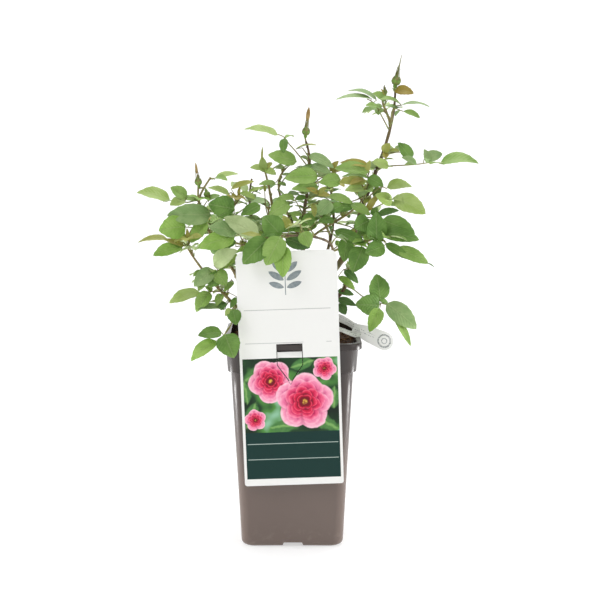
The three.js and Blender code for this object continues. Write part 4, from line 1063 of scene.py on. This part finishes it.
rolls = {name: dice(mass["seed"]) for name, mass in CROWN.items()}
for name, mass in CROWN.items():
    for curve, count in zip(shoots[name], mass["counts"]):
        grow_by_rule(name, curve, count, mass["leaflet"], rolls[name])
for count, smaller, low_pairs in ROUNDS:
    for name, mass in CROWN.items():
        for curve in shoots[name]:
            grow_by_rule(name, curve, count, mass["leaflet"] * smaller, rolls[name], low_pairs)


# Stems. Each mass's own shoots, green-brown and smooth, run on from the canes without a joint; the
# leaves' stalks and the buds' stalks grow out of them. The ones on the left are young and tawny.
STEM_BROWN, STEM_TAWNY = 1, 2
TAWNY = "middle_left", "left", "low_left"
MAIN_STEPS = 44
BRANCH_STEPS = 20
STEM_ROUGH = 0.05


def stem_finish(name, low, high, roughness=0.5):
    finish = Finish(name, Specular_IOR_Level=0.4)
    patch = finish.grain(finish.here(), 120.0, 4.0)
    fibres = finish.grain(finish.here(stretch=(1, 1, 0.3)), 700.0, 3.0)
    return finish.show(Base_Color=finish.mixed(patch.eased(0.35, 0.68), low, high),
                       Roughness=roughness + patch * 0.15, Normal=finish.relief(fibres, 0.0003, 0.6))


stem_looks = [stem_finish("leaf_stalk", "#7A6A42", "#93985A"), stem_finish("stem_brown", "#4C3A2D", "#6F5F3C"),
              stem_finish("stem_tawny", "#7B6844", "#97905A")]
bare_stems = Heap()
for name, mass in CROWN.items():
    thick, thin = mass["radii"]
    main = barked(shoots[name][0], (thick * 0.95, thin * 1.15), MAIN_STEPS, STEM_ROUGH)
    sides = [barked(curve, (thin * 1.5, thin), BRANCH_STEPS, STEM_ROUGH) for curve in shoots[name][1:]]
    grown[name].stalks.add(main, STEM_TAWNY if name in TAWNY else STEM_BROWN)
    for side in sides:
        grown[name].stalks.add(side, STEM_TAWNY)
    for limb in (main, *sides):
        bare_stems.add(limb)


# Flower buds. A green hip and bud no bigger than a pea, closed in five sepals whose leafy ends run on
# into a twisted spire; on two of them it ends in a little brown leaf. They end the tallest stems.
SHOWN_BUDS = [("tall", (117.6, 532, 4), (125.6, 571, 5), 5.7, 0),
              ("tall", (107.6, 524, 4), (105.8, 537.5, 4), 2.9, 0),
              ("centre", (15, 475.5, -5), (19.5, 512, -5), 4.9, 4.8),
              ("left", (-108, 418, -15), (-112, 448.5, -15), 4.5, 3),
              ("left", (-100.5, 418, -15), (-97, 402, -18), 4.1, 0)]
BUD_GREEN, SEPAL, SEPAL_TIP = range(3)
BUD_LENGTH = 3.1
BUD_CURVE = [(0.12, 0.36), (0.2, 0.45), (0.27, 0.42), (0.34, 0.7), (0.44, 0.93), (0.54, 1), (0.65, 0.9),
             (0.76, 0.62), (0.86, 0.36), (0.95, 0.22)]
BUD_SIDES = 16
SEPALS = 5
SEPAL_FOOT = 0.3, 0.5
SEPAL_SHOULDER = 0.86, 0.42
SEPAL_WIDTH = 1.05
SEPAL_END_WIDTH = 0.3
SPIRE_SIDES = 7
SPIRE_SHARE = 0.6
BUD_STALK = 1.15, 1.0
BUD_STALK_REACH = 9
TOWARDS_VIEW = Vector((0, -1, 0.1))


def turned_form(base, tip, profile, sides):
    """A form turned about the line from base to tip, from (share of the line, half width) pairs."""
    axis = tip - base
    lie = axis.to_track_quat("Z", "X")
    angles = [2 * math.pi * i / sides for i in range(sides)]
    return lofted([[base + axis * share + lie @ Vector((half * math.cos(a), half * math.sin(a), 0)) for a in angles]
                   for share, half in profile])


def bud(heap, base, tip, size, leafy, luck):
    axis = tip - base
    up = axis.normalized()
    body = size * BUD_LENGTH
    curve = [(0, 0.9), (0.06, 1.1), *((share, half * size) for share, half in BUD_CURVE), (1, 0.5)]
    heap.add(turned_form(base, base + up * body, curve, BUD_SIDES), BUD_GREEN)

    def leafed(slot, *form):
        shape, below, layout = blade(*form)
        heap.add(shape, slot, layout)

    for k in range(SEPALS):
        around = Quaternion(up, 2 * math.pi * (k + 0.2) / SEPALS) @ up.orthogonal()
        foot, shoulder = (base + up * body * high + around * size * out for high, out in (SEPAL_FOOT, SEPAL_SHOULDER))
        end = base + up * (body + (axis.length - body) * (0.15 + 0.45 * next(luck)))
        end += around * (0.4 + 0.8 * next(luck))
        leafed(SEPAL, foot, shoulder, size * SEPAL_WIDTH, around, 0.2, 0.1, -0.5)
        leafed(SEPAL, shoulder - up * body * 0.1, end, size * SEPAL_END_WIDTH, around, 0.0, 1.2, -0.3)
    spire = base + axis * SPIRE_SHARE if leafy else tip
    profile = [(0, size * 0.3), (0.25, size * 0.2), (0.6, 0.65), (1, 0.3)]
    heap.add(turned_form(base + up * body * 0.9, spire, profile, SPIRE_SIDES), SEPAL)
    if leafy:
        leafed(SEPAL_TIP, spire - up * 2, tip, leafy, TOWARDS_VIEW, 0.03, 0.3, 0.3)


for name, base, tip, size, leafy in SHOWN_BUDS:
    low = seen(*base)
    stem_end = min((curve.at(1) for curve in shoots[name]), key=lambda place: (place - low).length)
    if (stem_end - low).length < BUD_STALK_REACH:
        grown[name].stalk([stem_end - UP * 1.5, stem_end.lerp(low, 0.5), low + UP], *BUD_STALK)
    bud(grown[name].buds, low, seen(*tip), size, leafy, dice(int(size * 10)))


# Finishes of the leaves. One plain tint for each spray, with a paler midrib and side veins pressed
# into the blade, a soft waxy gloss above and a mat grey-green skin below.
VEINS = 8.5
VEIN_SLANT = 0.72


def leaf_finish(name, low, high, roughness=0.42, below=False):
    finish = Finish(name, Specular_IOR_Level=0.28)
    chart = finish.node("ShaderNodeUVMap", {"uv_map": "blade"})
    off = abs(finish.part(chart, "X") - 0.5)
    rib = 1 - off.eased(0.006, 0.04)
    row = abs(((finish.part(chart, "Y") - off * VEIN_SLANT) * VEINS + 4).under("FRACT") - 0.5)
    vein = (1 - row.eased(0.02, 0.16)) * (1 - off.eased(0.36, 0.48))
    where = finish.here()
    cloud = finish.grain(where, 45.0, 3.0)
    fine = finish.grain(where, 900.0, 2.0)
    tone = finish.mixed(cloud.eased(0.3, 0.7), low, high)
    tone = finish.mixed(vein * 0.035, tone, "#C2D09A")
    tone = finish.mixed(rib * (0.35 if below else 0.14), tone, "#BFCB94")
    height = rib * 1.2 + vein * 0.6 + fine * 0.2 if below else row.eased(0.0, 0.5) * 0.6 - rib * 0.9 + fine * 0.15
    return finish.show(Base_Color=tone, Roughness=roughness + cloud * 0.12,
                       Normal=finish.relief(height, 0.0006, 0.55))


def creased(mesh, slots):
    """Marks the edges between faces of different finishes as sharp: each blade's rim."""
    counts = np.zeros(len(mesh.polygons), np.int32)
    mesh.polygons.foreach_get("loop_total", counts)
    of_corners = np.repeat(np.array(slots), counts)
    edges = np.zeros(len(mesh.loops), np.int32)
    mesh.loops.foreach_get("edge_index", edges)
    least, most = np.full(len(mesh.edges), max(slots)), np.zeros(len(mesh.edges), int)
    np.minimum.at(least, edges, of_corners)
    np.maximum.at(most, edges, of_corners)
    mesh.attributes.new("sharp_edge", "BOOLEAN", "EDGE").data.foreach_set("value", least != most)


leaf_looks = [leaf_finish(f"leaf_{name}", *tints) for name, tints in TINTS.items()]
leaf_looks.append(leaf_finish("leaf_underside", "#98AC76", "#B3C38F", 0.7, below=True))
bud_looks = [stem_finish("bud_green", "#5E7D2E", "#83A14A", 0.45), stem_finish("sepal", "#6A6E3A", "#8A8450", 0.55),
             stem_finish("sepal_tip", "#8E7440", "#AE9660", 0.6)]
for name, growth in grown.items():
    leaves = growth.blades.piece(f"leaves_{name}", leaf_looks)
    creased(leaves.data, growth.blades.slots)
    fixed(leaves, "leaf", f"foliage_{name}")
    fixed(growth.stalks.piece(f"stems_{name}", stem_looks), "leaf")
    if growth.buds.points:
        fixed(growth.buds.piece(f"buds_{name}", bud_looks), "leaf")


# Prickles. Small hooked ones, dark at their roots, stand on the canes and on the bare lengths of the
# stems. They are bark and snap off sideways.
THORN = [(-0.4, 1.3, 0.55, 0), (0.4, 0.9, 0.4, 0.05), (1.2, 0.5, 0.25, 0.25), (2.3, 0.08, 0.06, 0.9)]
THORN_SIDES = 6


def thorn():
    """A flattened hook, long at its foot along the stem."""
    angles = [2 * math.pi * k / THORN_SIDES for k in range(THORN_SIDES)]
    rings = [[(hook + long * math.cos(a), wide * math.sin(a), height) for a in angles]
             for height, long, wide, hook in THORN]
    return made_piece("thorn", *lofted(rings), [])


prickle_look = stem_finish("prickle", "#5E352A", "#94604A")
prickle_bed = bare_stems.piece("prickle_bed", [prickle_look])
stem_prickles = scattered("stem_prickles", prickle_bed, thorn(), prickle_look, Per_Square_Metre=5200.0, Seed=3,
                          Least_Up=-2.0, Smallest=0.5, Largest=0.95, Tilt=0.12)
cane_prickles = scattered("cane_prickles", frame_of_wood, thorn(), prickle_look, Per_Square_Metre=3600.0, Seed=8,
                          Least_Up=-2.0, Smallest=0.7, Largest=1.25, Tilt=0.12)
fixed(stem_prickles, "bark")
fixed(cane_prickles, "bark")
bpy.data.objects.remove(prickle_bed)


# Card. A stiff printed sheet of white plastic, 114 by 272 mm, hung on the lip by a tab that is cut and
# folded from its own window. A plain sprig heads it and a plain picture of pink blossom fills it below.
CARD_MIDDLE = (-0.002, -0.0799, 0.217)
CARD_TURN = {"X_AXIS": math.radians(1.2), "Y_AXIS": math.radians(-2)}
PICTURE = (-54, 54, -73, 13.5)
PANEL = (-54, 54, -128, -73)
LINES = [(-50, 48, 69.1, 69.9, 0.6, "#7E8482"), (-50, 16, 30.9, 31.6, 0.6, "#7E8482"),
         (42, 48, 30.9, 31.6, 0.6, "#7E8482"), (-52, 52, -86.9, -86.1, 0.8, "#BFD0C8"),
         (-52, 52, -105.2, -104.4, 0.8, "#BFD0C8")]
SPRIG_STEM = (-2.5, -1.5, 86, 120)
SPRIG = [(-2, 126, 8, 3.2, 1.57), (-10, 118, 8.5, 3.4, 2.4), (6, 118, 8.5, 3.4, 0.75), (-12, 108, 10, 3.6, 2.6),
         (8, 108, 10, 3.6, 0.55), (-12, 97.5, 9, 3.3, 2.8), (8, 97.5, 9, 3.3, 0.35)]
BACKDROP_LEAVES = [(-38, -4, 19, 9, 0.5), (36, -62, 20, 9, -0.5), (-46, -52, 17, 8, 1.2), (46, 2, 16, 7, 2.3),
                   (-10, -66, 17, 8, 0.1), (14, 6, 15, 7, 0.3), (49, -34, 14, 7, 1.5), (-52, -26, 14, 7, 1.7)]
BLOSSOMS = [(39, 0, 14, 0.4), (-42, -58, 13, 1.9), (-23, -13, 26, 1.1), (15, -38, 34, 2.6)]
PETAL_PLACES = 0.68, 0.8, 0.9, 0.98
WHORLS = [(1, 0, 2.5, ("#C9467A", "#EA86AA", "#F4A6C0", "#FAC8D6")),
          (0.85, 0.9, 3, ("#BC2E63", "#E5709A", "#F08FB0", "#F7B2C7")),
          (0.7, 0.3, 2.5, ("#A81646", "#DA3C6C", "#E9628A", "#F48DAA")),
          (0.55, 1.4, 3, ("#960F38", "#D2224F", "#E34168", "#EF6C8B")),
          (0.41, 0.6, 2.5, ("#860A2C", "#C9163F", "#DE2E54", "#EC5474")),
          (0.27, 1.9, 2, ("#74081F", "#BC1236", "#D42748", "#E44A68"))]


def card_finish():
    finish = Finish("printed_card", Specular_IOR_Level=0.25)
    flat = finish.here(shift=[-value for value in CARD_MIDDLE])
    for axis, angle in CARD_TURN.items():
        flat = finish.node("ShaderNodeVectorRotate", {"rotation_type": axis}, {"Vector": flat, "Angle": -angle})
    across, up = finish.part(flat, "X") / MM, finish.part(flat, "Z") / MM
    behind = finish.part(finish.node("ShaderNodeNewGeometry", output="Normal"), "Y") > -0.5
    cloud = finish.grain(flat, 26.0, 2.0, 0.5)
    grey = finish.grain(flat, 240.0, 3.0)
    shake = (finish.grain(flat, 130.0, 2.0) - 0.5) * 5

    def area(left, right, bottom, top):
        return across.within(left, right) * up.within(bottom, top)

    def leaf_shape(x, z, long, wide, turn, shake=0.0):
        """How far out from a pointed oval's middle, and how far from its midrib."""
        dx, dz = across - x + shake, up - z + shake
        ahead = (dx * math.cos(turn) + dz * math.sin(turn)) / long
        aside = abs(dz * math.cos(turn) - dx * math.sin(turn)) / wide
        return ahead * ahead + aside * (0.7 + aside * 0.3), aside

    picture = finish.banded(cloud, (0.36, 0.5, 0.6, 0.68), ("#0F2215", "#1E4023", "#4F8A3E", "#8FC0A0"))
    for leaf in BACKDROP_LEAVES:
        out, rib = leaf_shape(*leaf, shake)
        green = finish.mixed(rib.eased(0.0, 0.3) * 0.6 + grey * 0.4, "#86B565", "#2F6A34")
        picture = finish.mixed(1 - out.eased(0.6, 1.1), picture, green)
    for x, z, size, turn in BLOSSOMS:
        dx, dz = across - x + shake * 0.5, up - z - shake * 0.5
        far, angle = (dx * dx + dz * dz).under("SQRT"), dz.under("ARCTAN2", dx)
        for share, shift, petals, codes in WHORLS:
            lobe = abs((angle * petals + (turn + shift)).under("COSINE"))
            reach = (far + shake * 0.12 * size / 30) / (size * share * (0.8 + lobe * 0.2))
            tone = finish.banded(reach + (grey - 0.5) * 0.25, PETAL_PLACES, codes)
            tone = finish.mixed((1 - lobe.eased(0.05, 0.45)) * 0.5, tone, codes[0])
            picture = finish.mixed(1 - reach.eased(0.97, 1.02), picture, tone)
        picture = finish.mixed((1 - (far / size).eased(0.05, 0.12)) * grey.eased(0.4, 0.6), picture, "#E3B24A")
    sprig = area(*SPRIG_STEM)
    for leaf in SPRIG:
        sprig = sprig.most(leaf_shape(*leaf)[0] < 1)
    tone = finish.mixed(grey * 0.2, "#EDEDEA", "#E2E3DF")
    tone = finish.mixed(sprig * (0.55 + grey * 0.4), tone, "#3F5A66")
    tone = finish.mixed(area(*PICTURE), tone, picture)
    tone = finish.mixed(area(*PANEL), tone, "#04302B")
    for *box, share, colour in LINES:
        tone = finish.mixed(area(*box) * share, tone, colour)
    # A thin dark line along the tongue's V down to its tip, where the tongue stays joined to the sheet: painted shade
    # of the slit.
    slit = (up - abs(across) * 1.55).within(-17.9, -17.1) * (abs(across) < 2.3)
    tone = finish.mixed(slit * 0.85, tone, "#4A2A30")
    tone = finish.mixed(behind, tone, "#E6E7E4")
    return finish.show(Base_Color=tone, Roughness=0.36 + grey * 0.1,
                       Normal=finish.relief(finish.grain(flat, 30.0, 2.0), 0.0005, 0.25))


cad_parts["card"].data.materials.clear()
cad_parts["card"].data.materials.append(card_finish())


# Strap label. Two films of white plastic welded into one: a long band looped round the trunk's neck,
# its far half standing and its near half lying over, and a broad round tail that lies over the lip.
STRAP_THICK = 0.7
BAND = [((80, -26.4, 251), 8, 0.2), ((73, -22, 257), 9, 0.15), ((58, -11, 264), 9.6, 0.1),
        ((40, 0, 267), 9.6, 0.05), ((22, 12, 267), 9.6, 0), ((3, 15.5, 264), 9.6, 0), ((-9, 9, 260), 9.6, 0.1),
        ((-12, -2, 257), 9.6, 0.3), ((-4, -13, 255.5), 9.6, 0.7), ((14, -19, 256), 9.6, 1.1),
        ((34, -23, 256.5), 9.6, 1.25), ((53, -25, 254.5), 9, 1.25), ((68, -28, 249.5), 8.5, 1.1),
        ((80, -30, 246.5), 8, 0.7)]
BAND_STEPS = 5
BAND_FROM = 30
TAIL_ROOT = Vector((76, -25, 254))
TAIL_YAW = math.radians(-16)
TAIL_FALL = math.radians(21)
TAIL_MIDDLE = 35
TAIL_HALF = 11
TAIL_SIDE = [(-5, 4.5), (0, 6.5), (14, 9.6)]
TAIL_STEPS = 16
TAIL_BOW = 0.5
TAIL_WAVE = 15


def strap_finish():
    finish = Finish("strap_plastic", Specular_IOR_Level=0.4)
    cloud = finish.grain(finish.here(), 60.0, 3.0)
    specks = finish.grain(finish.here(stretch=(1, 1, 1.6)), 620.0, 1.0)
    chart = finish.node("ShaderNodeUVMap", {"uv_map": "blade"})
    x, y = finish.part(chart, "X"), finish.part(chart, "Y")
    far = (x * x + y * y).under("SQRT")
    circles = far.within(6.3, 8.2).most(far.within(2.6, 3.6))
    rows = y.within(1.2, 2.4).most(y.within(-1.6, -0.4)) * (x < -12)
    tone = finish.mixed(cloud * 0.5, "#F4F5F1", "#E6E8E3")
    tone = finish.mixed(rows * specks.eased(0.5, 0.6) * 0.6, tone, "#5E6866")
    tone = finish.mixed(circles * (0.35 + specks.eased(0.4, 0.6) * 0.5), tone, "#4E5A5C")
    return finish.show(Base_Color=tone, Roughness=0.36 + cloud * 0.12, Normal=finish.relief(cloud, 0.0002, 0.3))


band = smoothed([Vector((*place, tall, lean)) for place, tall, lean in BAND], BAND_STEPS)
places = [Vector(row[:3]) for row in band]
rings, layout, gone = [], [], BAND_FROM
for k, (place, (tall, lean)) in enumerate(zip(places, (row[3:] for row in band))):
    before = places[max(k - 1, 0)]
    forward = (places[min(k + 1, len(places) - 1)] - before).normalized()
    rise = UP * math.cos(lean) - forward.cross(UP).normalized() * math.sin(lean)
    face = rise.cross(forward).normalized() * (STRAP_THICK / 2)
    edge = rise * tall / 2
    gone += (place - before).length
    rings.append([place + edge + face, place - edge + face, place - edge - face, place + edge - face])
    layout += [(-gone, side * tall / 2) for side in (1, -1, -1, 1)]
strap = Heap()
strap.add(lofted(rings), 0, layout)
outline = [(a, -b) for a, b in TAIL_SIDE]
outline += [(TAIL_MIDDLE + TAIL_HALF * math.cos(a), TAIL_HALF * math.sin(a))
            for a in (math.pi * (k / TAIL_STEPS - 0.5) for k in range(TAIL_STEPS + 1))]
outline += reversed(TAIL_SIDE)
lie = Matrix.Rotation(TAIL_YAW, 3, "Z") @ Matrix.Rotation(TAIL_FALL, 3, "Y")
sheets = [[TAIL_ROOT + lie @ Vector((a, TAIL_BOW * math.sin(a / TAIL_WAVE) + side, b)) for a, b in outline]
          for side in (STRAP_THICK / 2, -STRAP_THICK / 2)]
strap.add(lofted(sheets), 0, [(a - TAIL_MIDDLE, b) for a, b in outline] * 2)
strap_label = strap.piece("strap_label", [strap_finish()])
strap_label.data.set_sharp_from_angle(angle=CREASE)
fixed(strap_label, "label_plastic", "strap")


# Studio. A plain white sweep, soft light from above and both sides, and the camera a little above the
# crown, where the photograph was taken from.
SWEEP_HALF = 3500
SWEEP_FRONT = -3000
SWEEP_BACK = 1200
SWEEP_BEND = 900
SWEEP_TOP = 4200
SWEEP_STEPS = 12
LAMPS = [("key", (-1.3, -1.8, 2.2), (0, 0, 0.3), 1.3, 1.3, 21), ("fill", (1.7, -1.5, 1.4), (0, 0, 0.3), 1.6, 1.6, 9),
         ("top", (0.2, 0.6, 2.4), (0, 0, 0.2), 1.6, 1.6, 34),
         ("left strip", (-0.62, -0.03, 0.13), (0, -0.03, 0.13), 0.22, 0.26, 2.9),
         ("right strip", (0.62, -0.03, 0.13), (0, -0.03, 0.13), 0.22, 0.26, 2.9)]
CAMERA_PLACE = (0.009106, -1.6, 0.52398)
CAMERA_FALL = 0.1484
CAMERA_LENS = 81.74


def stage_finish():
    finish = Finish("white_sweep", Roughness=0.9, Specular_IOR_Level=0.1, Emission_Strength=0.56)
    white = finish.mixed(finish.grain(finish.here(), 3.0, 2.0) * 0.2, "#F9F9F9", "#F5F5F5")
    return finish.show(Base_Color=finish.mixed(0.5, white, "#808080"), Emission_Color=white)


bend = [(SWEEP_BACK + SWEEP_BEND * math.sin(a), SWEEP_BEND - SWEEP_BEND * math.cos(a))
        for a in (k * math.pi / 2 / SWEEP_STEPS for k in range(SWEEP_STEPS + 1))]
points = [(x, y, z) for y, z in [(SWEEP_FRONT, 0), *bend, (SWEEP_BACK + SWEEP_BEND, SWEEP_TOP)]
          for x in (-SWEEP_HALF, SWEEP_HALF)]
faces = [(k, k + 1, k + 3, k + 2) for k in range(0, len(points) - 2, 2)]
made_piece("white_sweep", points, faces, [stage_finish()])

world = bpy.data.worlds.new("soft_white")
world.use_nodes = True
room = Nodes(world.node_tree)
level = room.part(room.node("ShaderNodeTexCoord"), "Z")
wall = 1 - abs(level).eased(0.2, 0.5)
background = world.node_tree.nodes["Background"].inputs
room.feed(background["Strength"], 0.27 + wall * 0.6)
room.feed(background["Color"], (1, 1, 1, 1))
bpy.context.scene.world = world

for name, place, aim, wide, tall, power in LAMPS:
    light = bpy.data.lights.new(name, "AREA")
    light.shape, light.size, light.size_y, light.energy = "RECTANGLE", wide, tall, power
    holder = bpy.data.objects.new(name, light)
    bpy.context.scene.collection.objects.link(holder)
    holder.location = place
    holder.rotation_euler = (Vector(aim) - Vector(place)).to_track_quat("-Z", "Y").to_euler()
bpy.context.scene.view_settings.view_transform = "Standard"

camera = bpy.data.objects.new("camera", bpy.data.cameras.new("camera"))
bpy.context.scene.collection.objects.link(camera)
camera.location = CAMERA_PLACE
camera.rotation_euler = (math.radians(90) - CAMERA_FALL, 0, 0)
camera.data.sensor_width = 36
camera.data.lens = CAMERA_LENS
camera.data.clip_end = 50
bpy.context.scene.camera = camera
